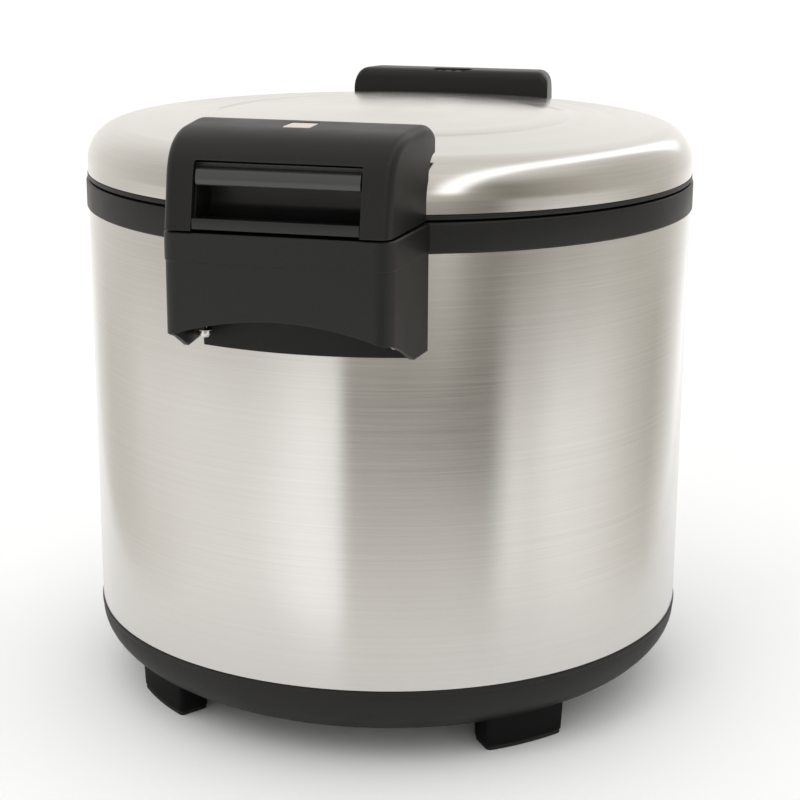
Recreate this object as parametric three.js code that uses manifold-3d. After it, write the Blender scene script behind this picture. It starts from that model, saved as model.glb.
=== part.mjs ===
// Commercial rice cooker: a brushed steel drum on a black base with four feet, and a hinged steel lid.
// A black latch box stands on the front and a black hinge box on the back. The lower half of each is a
// carrying handle that the fingers enter from below. A lifting pot sits on a cast hot plate inside.
//
// Millimetres, +Z up. The origin is on the drum's axis, level with the soles of the feet. The latch
// faces -Y, the hinge +Y, and the cooking controls -X.

import * as THREE from "three";
import { mergeVertices } from "three/addons/utils/BufferGeometryUtils.js";
import Module from "manifold-3d";

const wasm = await Module();
wasm.setup();

// ---------------------------------------------------------------- driving dimensions

const SEGMENTS = 36; // facets round the drum
const GAP = 0.4; // clearance between pieces that touch
const SHEET = 1.2; // sheet metal
const WALL = 3; // moulded plastic

const DRUM_RADIUS = 190;
const SOLE = 3; // rubber pad under each foot
const BASE_FLOOR = 11; // flat underside of the base
const BASE_TOP = 52;
const DRUM_TOP = 309;
const RING_TOP = 325.9; // where body and lid part
const LID_BOTTOM = 326.8;
const LID_STEEL_BOTTOM = 329.7;
const LID_CORNER = 23; // radius of the lid's shoulder
const LID_SHOULDER = 336.6; // height of that radius's centre
const LID_FLAT_RADIUS = 112;
const LID_FLAT_TOP = 365.5;

const RING_RADIUS = DRUM_RADIUS + 1.2;
const LINER_RADIUS = 169.2;
const LINER_FLOOR = 88;
const POT_RADIUS = 163;
const POT_BOTTOM = 107;
const POT_RIM_RADIUS = 173;
const POT_RIM = 322.6; // underside of the pot's flange
const HOT_PLATE_RADIUS = 118;

// The two boxes taper in plan, from half a width at the drum to half a width at the face.
// Distances are measured outwards from the drum's axis.
const FACE = 243; // outer face of both boxes
const LATCH_BOX = { atDrum: 65.2, atFace: 61.3, inner: 163.5, corner: 10, bottom: LID_BOTTOM, top: 378.4 };
const HINGE_BOX = { atDrum: 70, atFace: 63, inner: 172, corner: 10, bottom: 327, top: 375.2 };
const FRONT_HANDLE = { atDrum: 67.8, atFace: 62.7, inner: 150, corner: 10, top: RING_TOP - 0.3 };
const REAR_HANDLE = { atDrum: 72, atFace: 64.5, inner: 150, corner: 10, top: RING_TOP - 0.3 };
const TAPER_START = 180;
const OVERHANG = { outer: 178.5, height: 362 }; // the latch box stands clear of the lid inside this

const HINGE_AXIS = { distance: 236, height: 327 };
const HINGE_PIN_RADIUS = 3;
const KNUCKLE_RADIUS = 5;
const LATCH_AXIS = { distance: 216, height: 340 };
const LATCH_PIN_RADIUS = 2.5;

const HANDLE_SCREW = { x: 54.5, distance: 200, head: 261.4 };
const FOOT_OUTER = 168.5;
const FOOT_INNER = 150;
// Degrees from +X.
const FOOT_CENTRES = { front_right: -46, front_left: -134, rear_left: 134, rear_right: 46 };
const FOOT_HALF_ANGLE = 9.3;

const PANEL = { halfWidth: 37, bottom: 72, top: 172, thickness: 2.2 };
const COOK_LEVER = { pivotX: -180, height: 101 };
const LAMP = { offset: 16, height: 148, radius: 6 };
const REAR_PLATE = { halfWidth: 30, bottom: 66, top: 108, face: 193.5 };
const INLET_HEIGHT = 87;

// ---------------------------------------------------------------- materials

const finish = (color, roughness, metalness) =>
  new THREE.MeshStandardMaterial({ color, roughness, metalness });
const MATERIALS = {
  brushedSteel: finish(0xcdc8bf, 0.34, 1),
  sheetSteel: finish(0xb9bbbd, 0.4, 1),
  castAluminium: finish(0xa8aaab, 0.5, 1),
  pot: finish(0xc4c6c8, 0.3, 1),
  blackPlastic: finish(0x2b2b2a, 0.55, 0),
  darkPlastic: finish(0x1b1b1b, 0.6, 0),
  rubber: finish(0x161616, 0.85, 0),
  silicone: finish(0xd9d6cf, 0.6, 0),
  zinc: finish(0xd6d6d2, 0.3, 1),
  brass: finish(0xc7a55a, 0.35, 1),
  heaterFoil: finish(0xb5b5b0, 0.45, 1),
  glassFibre: finish(0xe6dfc8, 0.95, 0),
  redLens: finish(0xb3261c, 0.25, 0),
  amberLens: finish(0xd98a1f, 0.25, 0),
  label: finish(0xdcd3cc, 0.4, 0),
};

// ---------------------------------------------------------------- shape tools

const radians = THREE.MathUtils.degToRad;

/** A geometry as a manifold solid, turned right side out. */
function solid(geometry) {
  const bare = geometry.index ? geometry.toNonIndexed() : geometry.clone();
  bare.deleteAttribute("normal");
  bare.deleteAttribute("uv");
  const merged = mergeVertices(bare, 1e-4);
  const vertProperties = new Float32Array(merged.attributes.position.array);
  const triVerts = new Uint32Array(merged.index.array);
  const made = new wasm.Manifold(new wasm.Mesh({ numProp: 3, vertProperties, triVerts }));
  if (made.volume() >= 0) return made;
  for (let i = 0; i < triVerts.length; i += 3) {
    [triVerts[i + 1], triVerts[i + 2]] = [triVerts[i + 2], triVerts[i + 1]];
  }
  return new wasm.Manifold(new wasm.Mesh({ numProp: 3, vertProperties, triVerts }));
}

/** One named piece from a solid, with its place and turn left to the caller. */
function piece(name, made, material) {
  const { vertProperties, triVerts } = made.getMesh();
  const geometry = new THREE.BufferGeometry();
  geometry.setAttribute("position", new THREE.BufferAttribute(new Float32Array(vertProperties), 3));
  geometry.setIndex(new THREE.BufferAttribute(new Uint32Array(triVerts), 1));
  geometry.computeVertexNormals();
  const mesh = new THREE.Mesh(geometry, material);
  mesh.name = name;
  return mesh;
}

/** A profile of [radius, height] pairs turned about Z. It starts and ends on the axis, or is closed here. */
function turned(profile, segments = SEGMENTS) {
  const points = profile.map(([radius, height]) => new THREE.Vector2(radius, height));
  if (profile[0][0] > 0 || profile.at(-1)[0] > 0) points.push(points[0].clone());
  return solid(new THREE.LatheGeometry(points, segments).rotateX(Math.PI / 2));
}

/** A ring with a rectangular section. */
const hoop = (inner, outer, bottom, top, segments = SEGMENTS) =>
  turned([[inner, bottom], [outer, bottom], [outer, top], [inner, top]], segments);

const block = (low, high) =>
  solid(
    new THREE.BoxGeometry(high[0] - low[0], high[1] - low[1], high[2] - low[2]).translate(
      (low[0] + high[0]) / 2,
      (low[1] + high[1]) / 2,
      (low[2] + high[2]) / 2,
    ),
  );

/** A round bar along X, Y or Z between two stations. Its centre is the other two coordinates in XYZ order. */
function bar(axis, radius, from, to, centre, sides = 16) {
  const geometry = new THREE.CylinderGeometry(radius, radius, to - from, sides);
  const middle = (from + to) / 2;
  if (axis === "x") geometry.rotateZ(Math.PI / 2).translate(middle, centre[0], centre[1]);
  if (axis === "y") geometry.translate(centre[0], middle, centre[1]);
  if (axis === "z") geometry.rotateX(Math.PI / 2).translate(centre[0], centre[1], middle);
  return solid(geometry);
}

const extrude = (shape, depth, curveSegments) =>
  new THREE.ExtrudeGeometry(shape, { depth, bevelEnabled: false, curveSegments });

/** A shape drawn in (distance forwards from the axis, height), made as wide as the stretch of X given. */
function acrossX(shape, from, to, curveSegments = 6) {
  const basis = new THREE.Matrix4().makeBasis(
    new THREE.Vector3(0, -1, 0),
    new THREE.Vector3(0, 0, 1),
    new THREE.Vector3(-1, 0, 0),
  );
  return solid(extrude(shape, to - from, curveSegments).applyMatrix4(basis).translate(to, 0, 0));
}

/** A shape drawn in (x, y), made as tall as the stretch of Z given. */
const upZ = (shape, from, to, curveSegments = 5) =>
  solid(extrude(shape, to - from, curveSegments).translate(0, 0, from));

/** A shape drawn in (x, height), made as deep as the stretch of Y given. */
const alongY = (shape, from, to, curveSegments = 6) =>
  solid(extrude(shape, to - from, curveSegments).rotateX(Math.PI / 2).translate(0, to, 0));

function outline(points) {
  const shape = new THREE.Shape();
  points.forEach(([a, b], i) => (i ? shape.lineTo(a, b) : shape.moveTo(a, b)));
  shape.closePath();
  return shape;
}

/** A rounded rectangle between two corners. */
function rounded(left, bottom, right, top, radius) {
  const shape = new THREE.Shape();
  shape.moveTo(left + radius, bottom);
  shape.lineTo(right - radius, bottom);
  shape.absarc(right - radius, bottom + radius, radius, -Math.PI / 2, 0);
  shape.absarc(right - radius, top - radius, radius, 0, Math.PI / 2);
  shape.absarc(left + radius, top - radius, radius, Math.PI / 2, Math.PI);
  shape.absarc(left + radius, bottom + radius, radius, Math.PI, 1.5 * Math.PI);
  return shape;
}

const toRear = (made) => made.rotate([0, 0, 180]);
const mirrored = (made) => made.add(made.mirror([1, 0, 0]));

/** A helix along X about the given centre, as a curve for an extrusion. */
class CoilCurve extends THREE.Curve {
  constructor(axis, radius, turns, from, to, centre) {
    super();
    Object.assign(this, { axis, radius, turns, from, to, centre });
  }

  getPoint(t, target = new THREE.Vector3()) {
    const angle = t * this.turns * 2 * Math.PI;
    const along = this.from + (this.to - this.from) * t;
    const [a, b] = [this.radius * Math.cos(angle), this.radius * Math.sin(angle)];
    if (this.axis === "x") return target.set(along, this.centre[0] + a, this.centre[1] + b);
    return target.set(this.centre[0] + a, this.centre[1] + b, along);
  }
}

/** Round wire along a curve. */
function wire(curve, radius, steps, sides = 6) {
  const section = new THREE.Shape();
  section.absarc(0, 0, radius, 0, 2 * Math.PI);
  const settings = { steps, bevelEnabled: false, extrudePath: curve, curveSegments: sides };
  return solid(new THREE.ExtrudeGeometry(section, settings));
}

function coil(axis, radius, wireRadius, turns, from, to, centre) {
  const stepsPerTurn = 8;
  const curve = new CoilCurve(axis, radius, turns, from + wireRadius, to - wireRadius, centre);
  return wire(curve, wireRadius, Math.round(turns * stepsPerTurn), 2);
}

// ---------------------------------------------------------------- lid outline, shared by what rests on it

const SLOPE_START = radians(84); // the shoulder's arc ends where it meets the lid's slope

/** [radius, height] pairs of the lid's outer face, from its lower edge to its flat middle. */
function lidFace(offset) {
  const centre = DRUM_RADIUS - LID_CORNER;
  const radius = LID_CORNER + offset;
  const arcSteps = 4;
  const shoulder = Array.from({ length: arcSteps + 1 }, (_, i) => {
    const angle = (SLOPE_START * i) / arcSteps;
    return [centre + radius * Math.cos(angle), LID_SHOULDER + radius * Math.sin(angle)];
  });
  const flat = LID_FLAT_TOP + offset;
  return [...shoulder, [LID_FLAT_RADIUS, flat], [LID_FLAT_RADIUS - 8, flat + 0.3]];
}

/** Everything inside the lid's face and below it: what the boxes on the lid are cut back from. */
function lidBulk(offset) {
  const bottom = BASE_TOP;
  const crown = LID_FLAT_TOP + offset + 0.6;
  return turned([[0, bottom], [DRUM_RADIUS + offset, bottom], ...lidFace(offset), [0, crown]]);
}

// ---------------------------------------------------------------- base and feet

/** [radius, height] pairs of the base's curved side, from its lip down to its flat underside. */
function baseFace(offset) {
  const centre = { radius: 120.3, height: 46.6 };
  const half = { radius: 69.9 + offset, height: 37.8 + offset };
  const end = Math.asin((centre.height - BASE_FLOOR + offset) / half.height);
  const steps = 5;
  return Array.from({ length: steps + 1 }, (_, i) => {
    const angle = (end * i) / steps;
    return [centre.radius + half.radius * Math.cos(angle), centre.height - half.height * Math.sin(angle)];
  });
}

const COVER_RADIUS = 139;

function baseRing() {
  const outer = baseFace(0);
  const inner = baseFace(-WALL).reverse();
  const opening = COVER_RADIUS - 6;
  return turned([
    [DRUM_RADIUS + 0.4, BASE_TOP - GAP],
    ...outer,
    [opening, BASE_FLOOR],
    [opening, BASE_FLOOR + WALL],
    ...inner,
    [DRUM_RADIUS - 2.8, BASE_TOP - GAP],
  ]);
}

/** Steel plate that closes the base from inside, with a ring of cooling slots. */
function bottomCover() {
  const bottom = BASE_FLOOR + WALL + GAP;
  const top = bottom + SHEET;
  let plate = turned([[0, bottom], [COVER_RADIUS, bottom], [COVER_RADIUS, top], [0, top]]);
  const slots = 8;
  for (let i = 0; i < slots; i += 1) {
    const slot = block([70, -3, bottom - 2], [104, 3, bottom + 4]);
    plate = plate.subtract(slot.rotate([0, 0, (360 * i) / slots]));
  }
  return plate;
}

/** Sector of a ring about Z, drawn about +X so that each foot is placed by a turn. */
function sector(inner, outer, halfAngle) {
  const half = radians(halfAngle);
  const shape = new THREE.Shape();
  shape.absarc(0, 0, outer, -half, half, false);
  shape.absarc(0, 0, inner, half, -half, true);
  shape.closePath();
  return shape;
}

function foot() {
  const bulk = turned([[0, BASE_TOP], ...baseFace(GAP), [0, BASE_FLOOR - GAP]].reverse());
  const post = upZ(sector(FOOT_INNER, FOOT_OUTER, FOOT_HALF_ANGLE), SOLE + 0.3, 40, 4);
  return post.subtract(bulk);
}

const footPad = () => upZ(sector(FOOT_INNER + 2, FOOT_OUTER - 2, FOOT_HALF_ANGLE - 0.8), 0, SOLE, 4);

function feet() {
  const group = new THREE.Group();
  for (const [place, angle] of Object.entries(FOOT_CENTRES)) {
    const post = piece(`foot_${place}`, foot(), MATERIALS.blackPlastic);
    const pad = piece(`foot_pad_${place}`, footPad(), MATERIALS.rubber);
    const pair = new THREE.Group();
    pair.add(post, pad);
    pair.rotation.z = radians(angle);
    group.add(pair);
  }
  return group;
}

// ---------------------------------------------------------------- drum, ring, chamber and pot

function bodyShell() {
  const shell = hoop(DRUM_RADIUS - SHEET, DRUM_RADIUS, BASE_TOP, DRUM_TOP - GAP);
  const panelWindow = block([-200, -29, 82], [-150, 29, 162]);
  const inletWindow = block([-20, 150, 72], [20, 200, 102]);
  return shell.subtract(panelWindow).subtract(inletWindow);
}

function topRing() {
  return turned([
    [RING_RADIUS, DRUM_TOP],
    [RING_RADIUS, RING_TOP - 1],
    [RING_RADIUS - 1, RING_TOP],
    [178, RING_TOP],
    [176, 321.8],
    [171, 321.8],
    [171, 318.5],
    [184, 318.5],
    [184, 302],
    [DRUM_RADIUS - SHEET - GAP, 302],
    [DRUM_RADIUS - SHEET - GAP, DRUM_TOP],
  ]);
}

/** Steel chamber that the pot hangs in, flanged at the top and open at the bottom round the hot plate. */
function innerLiner() {
  return turned([
    [HOT_PLATE_RADIUS + 4, LINER_FLOOR],
    [LINER_RADIUS, LINER_FLOOR],
    [LINER_RADIUS, 317],
    [180, 317],
    [180, 318.1],
    [LINER_RADIUS - SHEET, 318.1],
    [LINER_RADIUS - SHEET, LINER_FLOOR + SHEET],
    [HOT_PLATE_RADIUS + 4, LINER_FLOOR + SHEET],
  ]);
}

const warmingHeater = () => hoop(LINER_RADIUS + GAP, LINER_RADIUS + 2.4, 190, 290);
const insulation = () => hoop(LINER_RADIUS + 3, 184, 185, 300);

/** Spun pot with a rounded bottom corner and a flange that the lid's seal presses on. */
function cookingPot() {
  const wall = 2;
  const corner = 22;
  const rimTop = POT_RIM + 1.5;
  const corners = (radius, steps) =>
    Array.from({ length: steps + 1 }, (_, i) => {
      const angle = (Math.PI / 2) * (i / steps);
      const centre = [POT_RADIUS - corner, POT_BOTTOM + corner];
      return [centre[0] + radius * Math.sin(angle), centre[1] - radius * Math.cos(angle)];
    });
  return turned([
    [0, POT_BOTTOM],
    ...corners(corner, 4),
    [POT_RADIUS, POT_RIM],
    [POT_RIM_RADIUS, POT_RIM],
    [POT_RIM_RADIUS, rimTop],
    [POT_RADIUS - wall, rimTop],
    ...corners(corner - wall, 4).reverse(),
    [0, POT_BOTTOM + wall],
  ]);
}

function hotPlate() {
  const top = POT_BOTTOM - 0.5;
  return turned([
    [24, 95],
    [96, 95],
    [96, 92],
    [HOT_PLATE_RADIUS - 2, 92],
    [HOT_PLATE_RADIUS, 94],
    [HOT_PLATE_RADIUS, top - 2],
    [HOT_PLATE_RADIUS - 2, top],
    [24, top],
  ]);
}

/** Sheathed element: an open ring under the hot plate with both ends turned down to their terminals. */
function heatingElement() {
  const ringRadius = 80;
  const height = 88.2;
  const opening = radians(12);
  const steps = 14;
  const points = [];
  for (let i = 0; i <= steps; i += 1) {
    const angle = opening + ((2 * Math.PI - 2 * opening) * i) / steps;
    points.push(new THREE.Vector3(ringRadius * Math.cos(angle), ringRadius * Math.sin(angle), height));
  }
  const end = points.at(-1);
  points.unshift(new THREE.Vector3(points[0].x, points[0].y - 3, height - 26));
  points.push(new THREE.Vector3(end.x, end.y + 3, height - 26));
  return wire(new THREE.CatmullRomCurve3(points), 4.5, 26, 3);
}

/** Three-legged steel stand that carries the hot plate on the bottom cover. */
function heaterStand() {
  const ring = hoop(100, 112, 88.6, 91.6, 32);
  const ground = BASE_FLOOR + WALL + GAP + SHEET + GAP;
  const leg = block([99, -8, ground], [101.5, 8, 90]).add(block([99, -8, ground], [116, 8, ground + 2]));
  return [90, 210, 330].reduce((made, angle) => made.add(leg.rotate([0, 0, angle])), ring);
}

/** Sprung cup in the middle of the hot plate that senses the pot. */
function thermostat() {
  const top = POT_BOTTOM - 0.3;
  return turned(
    [[0, 58], [4, 58], [4, 84], [12, 84], [12, 88], [19, 90], [19, 104], [17, top], [0, top]],
    20,
  );
}

const thermostatSpring = () => coil("z", 8, 0.8, 5, 66, 83.6, [0, 0]);

/** Bracket under the thermostat: its stem slides in the tube, and its spring stands on the arm. */
function thermostatBracket() {
  const arm = block([-14, -98.5, 63], [14, 98.5, 65.5]);
  const leg = (near, far) => block([-14, near, 22], [14, far, 63]);
  return arm.add(leg(93, 96)).add(leg(-96, -93)).subtract(bar("z", 5, 60, 70, [0, 0]));
}

// ---------------------------------------------------------------- the two boxes

const halfWidth = (box, distance) =>
  box.atDrum + ((box.atFace - box.atDrum) * (distance - TAPER_START)) / (FACE - TAPER_START);

/** The box seen from above, shrunk by inset. Its face is towards -Y. */
function boxPlan(box, inset) {
  const face = FACE - inset;
  const inner = box.inner + inset;
  const corner = box.corner - inset;
  const half = (distance) => halfWidth(box, distance) - inset;
  const shape = new THREE.Shape();
  shape.moveTo(half(inner), -inner);
  shape.lineTo(-half(inner), -inner);
  shape.lineTo(-half(face - corner), corner - face);
  shape.quadraticCurveTo(-half(face), -face, corner - half(face), -face);
  shape.lineTo(half(face) - corner, -face);
  shape.quadraticCurveTo(half(face), -face, half(face - corner), corner - face);
  shape.closePath();
  return shape;
}

/** An upper box from the side, shrunk by inset: a leaning face, a broad curve and a crowned top. */
function upperSide(box, inset) {
  const top = box.top - inset;
  const shape = new THREE.Shape();
  const bottom = inset ? box.bottom - 10 : box.bottom;
  shape.moveTo(box.inner + inset, bottom);
  shape.lineTo(FACE - inset, bottom);
  shape.lineTo(FACE - inset, box.bottom);
  shape.lineTo(237.5 - inset, 353.6);
  shape.bezierCurveTo(234.5 - inset, 368 - inset / 2, 225 - inset, top - 1.2, 203, top - 0.6);
  shape.lineTo(box.inner + 18, top);
  shape.quadraticCurveTo(box.inner + inset + 4, top, box.inner + inset, top - 4);
  shape.closePath();
  return shape;
}

const upperForm = (box, inset) =>
  acrossX(upperSide(box, inset), -90, 90, 7).intersect(upZ(boxPlan(box, inset), 300, 400, 4));

/** Shell of an upper box, cut back from the lid's face. */
const upperShell = (box) => upperForm(box, 0).subtract(upperForm(box, WALL)).subtract(lidBulk(GAP));

function latchHousing() {
  const { distance, height } = LATCH_AXIS;
  const window = block([-45.7, -260, 300], [45.7, -222, 363]);
  const boss = bar("x", 6, 54.5, 61, [-distance, height]);
  const socket = bar("x", LATCH_PIN_RADIUS + 0.2, 50, 58.3, [-distance, height]);
  const clearance = block([-80, -OVERHANG.outer, 300], [80, -140, OVERHANG.height]);
  return upperShell(LATCH_BOX)
    .subtract(window)
    .subtract(clearance)
    .add(mirrored(boss))
    .subtract(mirrored(socket));
}

/** Tray behind the latch bar: a lip, a floor and a back wall, closed at both ends. */
function fingerTray() {
  const back = 208.5;
  const top = LATCH_BOX.top - WALL - 1.5;
  const channel = new THREE.Shape();
  channel.moveTo(242, 327.4);
  channel.lineTo(242, 333.4);
  channel.lineTo(238.8, 333.4);
  channel.lineTo(236.5, 331.2);
  channel.lineTo(220, 331.2);
  channel.quadraticCurveTo(back + 2.5, 331.2, back + 2.5, 341);
  channel.lineTo(back + 2.5, top);
  channel.lineTo(back, top);
  channel.lineTo(back, 339);
  channel.quadraticCurveTo(back, 328.6, 219, 328.6);
  channel.lineTo(234, 328.6);
  channel.lineTo(235.5, 327.4);
  channel.closePath();
  const end = outline([
    [242, 327.4], [242, 333.4], [235, 341], [221, 344],
    [219, 362], [back, 362], [back, 335], [214, 328.6],
  ]);
  return acrossX(channel, -45.2, 45.2, 4).add(mirrored(acrossX(end, 43.2, 45.2)));
}

/** Grip bar in the window, with an arm at each end that turns on a pin and ends in a hook below. */
function latchLever() {
  const { distance, height } = LATCH_AXIS;
  const grip = outline([[236.2, 351.7], [234, 361], [224, 361], [224, 356], [229, 351.7]]);
  const beam = outline([[228, 354], [228, 361], [224, 361], [224, 354]]);
  const arm = outline([
    [228, 352.5], [228, 361], [222, 361], [210, 347], [210.5, 317.5], [222, 317.5],
    [221, 321.8], [217, 321.8], [217.4, 333], [222.5, 343],
  ]);
  const hole = bar("x", LATCH_PIN_RADIUS + 0.2, 40, 60, [-distance, height]);
  return acrossX(grip, -44.5, 44.5)
    .add(acrossX(beam, -49, 49))
    .add(mirrored(acrossX(arm, 46.2, 49.2)))
    .subtract(mirrored(hole));
}

const latchPin = (side) => {
  const stations = [45.9 * side, 58 * side].sort((a, b) => a - b);
  return bar("x", LATCH_PIN_RADIUS, ...stations, [-LATCH_AXIS.distance, LATCH_AXIS.height]);
};

const latchSpring = (side) => {
  const stations = [49.7 * side, 54.1 * side].sort((a, b) => a - b);
  return coil("x", 4, 0.5, 3.5, ...stations, [-LATCH_AXIS.distance, LATCH_AXIS.height]);
};

const BADGE = { halfWidth: 7.5, inner: 184, outer: 203, recess: 0.6 };

/** Blank label let into the top of the latch box. */
function badge(oversize) {
  const { halfWidth: half, inner, outer, recess } = BADGE;
  const plate = rounded(-half - oversize, -outer - oversize, half + oversize, -inner + oversize, 1.5);
  const { top } = LATCH_BOX;
  return upZ(plate, top - recess - 0.4 - oversize, top + (oversize ? 3 : -0.2), 3);
}

function hingeCover() {
  const { distance, height } = HINGE_AXIS;
  const barrel = bar("x", KNUCKLE_RADIUS + 0.6, -62.6, 62.6, [-distance, height], 24);
  return toRear(upperShell(HINGE_BOX).subtract(barrel)).subtract(steamVent(0.3));
}

/** Oval steam outlet with three slots, let into the hinge box's top near its inner edge. */
function steamVent(oversize) {
  const { top } = HINGE_BOX;
  const bottom = top - WALL - 3;
  const oval = rounded(-14 - oversize, 176 - oversize, 14 + oversize, 190 + oversize, 6.8 + oversize);
  if (oversize) return upZ(oval, bottom - 1, top + 2, 4);
  const slot = (x) => block([x - 1.4, 179, 360], [x + 1.4, 187, 390]);
  const cap = upZ(oval, bottom, top - 1.2, 4);
  return [-7, 0, 7].reduce((made, x) => made.subtract(slot(x)), cap);
}

/** Lower box: walls on three sides and a top, open below for the fingers. */
function handleShell(handle, topPlate) {
  const side = outline([
    [handle.inner, 254.6], [203, 255.3], [222, 264.5], [236, 270], [FACE, 270],
    [FACE, handle.top], [handle.inner, handle.top],
  ]);
  const archEnd = halfWidth(handle, FACE) - 5;
  const arch = new THREE.Shape();
  arch.moveTo(-archEnd, 270);
  arch.bezierCurveTo(-30, 274, -22, 280.5, 0, 280.5);
  arch.bezierCurveTo(22, 280.5, 30, 274, archEnd, 270);
  arch.lineTo(archEnd, 240);
  arch.lineTo(-archEnd, 240);
  arch.closePath();
  const outer = acrossX(side, -90, 90).intersect(upZ(boxPlan(handle, 0), 240, 340, 4));
  const cavity = upZ(boxPlan(handle, WALL), 230, topPlate - WALL, 4);
  const above = upZ(boxPlan(handle, WALL), topPlate, 340, 4);
  const { x, distance, head } = HANDLE_SCREW;
  const wall = halfWidth(handle, distance) - 1;
  const rib = block([x, -distance - 1.5, head + 6], [wall, -distance + 1.5, 297]);
  const boss = bar("z", 5, head + 2.9, 297, [x, -distance]).add(rib);
  const hole = bar("z", 2, head, 285, [x, -distance], 12);
  const drum = turned([[0, 200], [RING_RADIUS + GAP, 200], [RING_RADIUS + GAP, 350], [0, 350]]);
  return outer
    .subtract(cavity)
    .subtract(above)
    .subtract(alongY(arch, -260, -FACE + WALL + 2, 6))
    .add(mirrored(boss))
    .subtract(mirrored(hole))
    .subtract(drum);
}

function frontHandle() {
  const hookSlot = block([45.2, -219.5, 318], [50.2, -203, 330]);
  return handleShell(FRONT_HANDLE, FRONT_HANDLE.top).subtract(mirrored(hookSlot));
}

const HINGE_SHELF = 318.5; // top of the rear handle's plate, under the hinge bracket

function rearHandle() {
  const barrelRoom = block([-100, -260, HINGE_SHELF], [100, -228, 340]);
  return toRear(handleShell(REAR_HANDLE, HINGE_SHELF).subtract(barrelRoom));
}

/** Plate bent to the drum behind a handle, with a tab at each side for the handle's screw. */
function backPlate(halfSpan) {
  const thickness = 2;
  const inner = RING_RADIUS + GAP;
  const sheet = hoop(inner, inner + thickness, 251.5, 312).intersect(
    alongY(rounded(-halfSpan, 240, halfSpan, 311, 6), -220, -150, 3),
  );
  const { x, distance, head } = HANDLE_SCREW;
  const tabTop = head + 2.5;
  const tab = block([halfSpan - 8, -distance - 5, tabTop - 2], [x + 4.5, -178, tabTop]);
  const hole = bar("z", 2.1, 250, 280, [x, -distance], 12);
  const drum = turned([[0, 200], [inner, 200], [inner, 350], [0, 350]]);
  return sheet.add(mirrored(tab)).subtract(mirrored(hole)).subtract(drum);
}

/** Pan-head screw, head down, at the origin's height. */
const handleScrew = () =>
  turned([[0, -2.6], [2.6, -2.6], [3.5, -1.6], [3.5, 0], [1.6, 0], [1.6, 14], [0, 15]], 10);

function handleScrews() {
  const { x, distance, head } = HANDLE_SCREW;
  const places = {
    front_right: [x, -distance],
    front_left: [-x, -distance],
    rear_right: [x, distance],
    rear_left: [-x, distance],
  };
  return Object.entries(places).map(([place, [atX, atY]]) => {
    const screw = piece(`handle_screw_${place}`, handleScrew(), MATERIALS.zinc);
    screw.position.set(atX, atY, head);
    return screw;
  });
}

// ---------------------------------------------------------------- hinge

/** Steel bracket on the rear handle's shelf, with the two inner knuckles. */
function hingeBracket() {
  const { distance, height } = HINGE_AXIS;
  const plateBottom = HINGE_SHELF + GAP;
  const plate = block([-50, -228, plateBottom], [50, -194, plateBottom + 3]);
  const web = outline([
    [215, plateBottom], [230, plateBottom], [235.5, 322.6],
    [235.5, 327], [228, 327], [222, plateBottom + 3],
  ]);
  const knuckle = acrossX(web, 32, 46).add(bar("x", KNUCKLE_RADIUS, 32, 46, [-distance, height], 24));
  const bore = bar("x", HINGE_PIN_RADIUS + 0.15, 0, 80, [-distance, height], 24);
  return toRear(plate.add(mirrored(knuckle)).subtract(mirrored(bore)));
}

/** Steel arm on the lid frame, with the two outer knuckles. It leaves through a slot in the lid's steel. */
function hingeArm() {
  const { distance, height } = HINGE_AXIS;
  const plate = block([-60, -200, 333], [60, -166, 335.5]);
  const finger = outline([
    [199, 333], [199, 335.5], [232, 335.5], [238, 330],
    [238, 327], [231.5, 327], [230, 333],
  ]);
  const knuckle = acrossX(finger, 48, 60).add(bar("x", KNUCKLE_RADIUS, 48, 60, [-distance, height], 24));
  const bore = bar("x", HINGE_PIN_RADIUS + 0.15, 0, 80, [-distance, height], 24);
  return toRear(plate.add(mirrored(knuckle)).subtract(mirrored(bore)));
}

const hingePin = () => bar("x", HINGE_PIN_RADIUS, -62, 62, [HINGE_AXIS.distance, HINGE_AXIS.height], 24);

// ---------------------------------------------------------------- lid

function lidShell() {
  const inner = lidFace(-SHEET).reverse();
  const skin = turned([
    [0, LID_FLAT_TOP + 0.6 - SHEET],
    ...inner,
    [DRUM_RADIUS - SHEET, LID_STEEL_BOTTOM],
    [DRUM_RADIUS, LID_STEEL_BOTTOM],
    ...lidFace(0),
    [0, LID_FLAT_TOP + 0.6],
  ]);
  return skin.subtract(block([-61, 150, 332.6], [61, 200, 336]));
}

/** Black frame that carries the lid: a rim that shows below the steel, and a web across the lid. */
function lidFrame() {
  return turned([
    [0, 338],
    [150, 338],
    [162, 331],
    [172, 329.6],
    [174, LID_BOTTOM],
    [DRUM_RADIUS + 0.4, LID_BOTTOM],
    [DRUM_RADIUS + 0.4, LID_STEEL_BOTTOM - GAP],
    [DRUM_RADIUS - SHEET - GAP, LID_STEEL_BOTTOM - GAP],
    [DRUM_RADIUS - SHEET - GAP, 332.4],
    [166, 332.6],
    [152, 341],
    [0, 341],
  ]);
}

/** Steel plate over the pot, held up to the frame by the knob in its middle. */
function innerPlate() {
  const plate = turned([
    [6, 331],
    [150, 328.4],
    [159, 325.2],
    [161, 325.2],
    [161, 326.6],
    [160, 326.6],
    [151, 329.8],
    [6, 332.4],
  ]);
  return [45, 90, 135].reduce((made, angle) => {
    const hole = bar("z", 4, 300, 350, [120 * Math.cos(radians(angle)), 120 * Math.sin(radians(angle))], 8);
    return made.subtract(hole);
  }, plate);
}

const lidGasket = () =>
  turned([
    [162, 324.6], [166, 324.4], [171, 324.6], [171.6, 327.5],
    [169, 328.6], [164, 328.6], [161.6, 326],
  ]);

const plateKnob = () =>
  turned(
    [
      [0, 321.5], [12, 321.5], [15, 323], [15, 329],
      [14, 330.4], [4.8, 330.4], [4.8, 337.6], [0, 337.6],
    ],
    16,
  );

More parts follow.
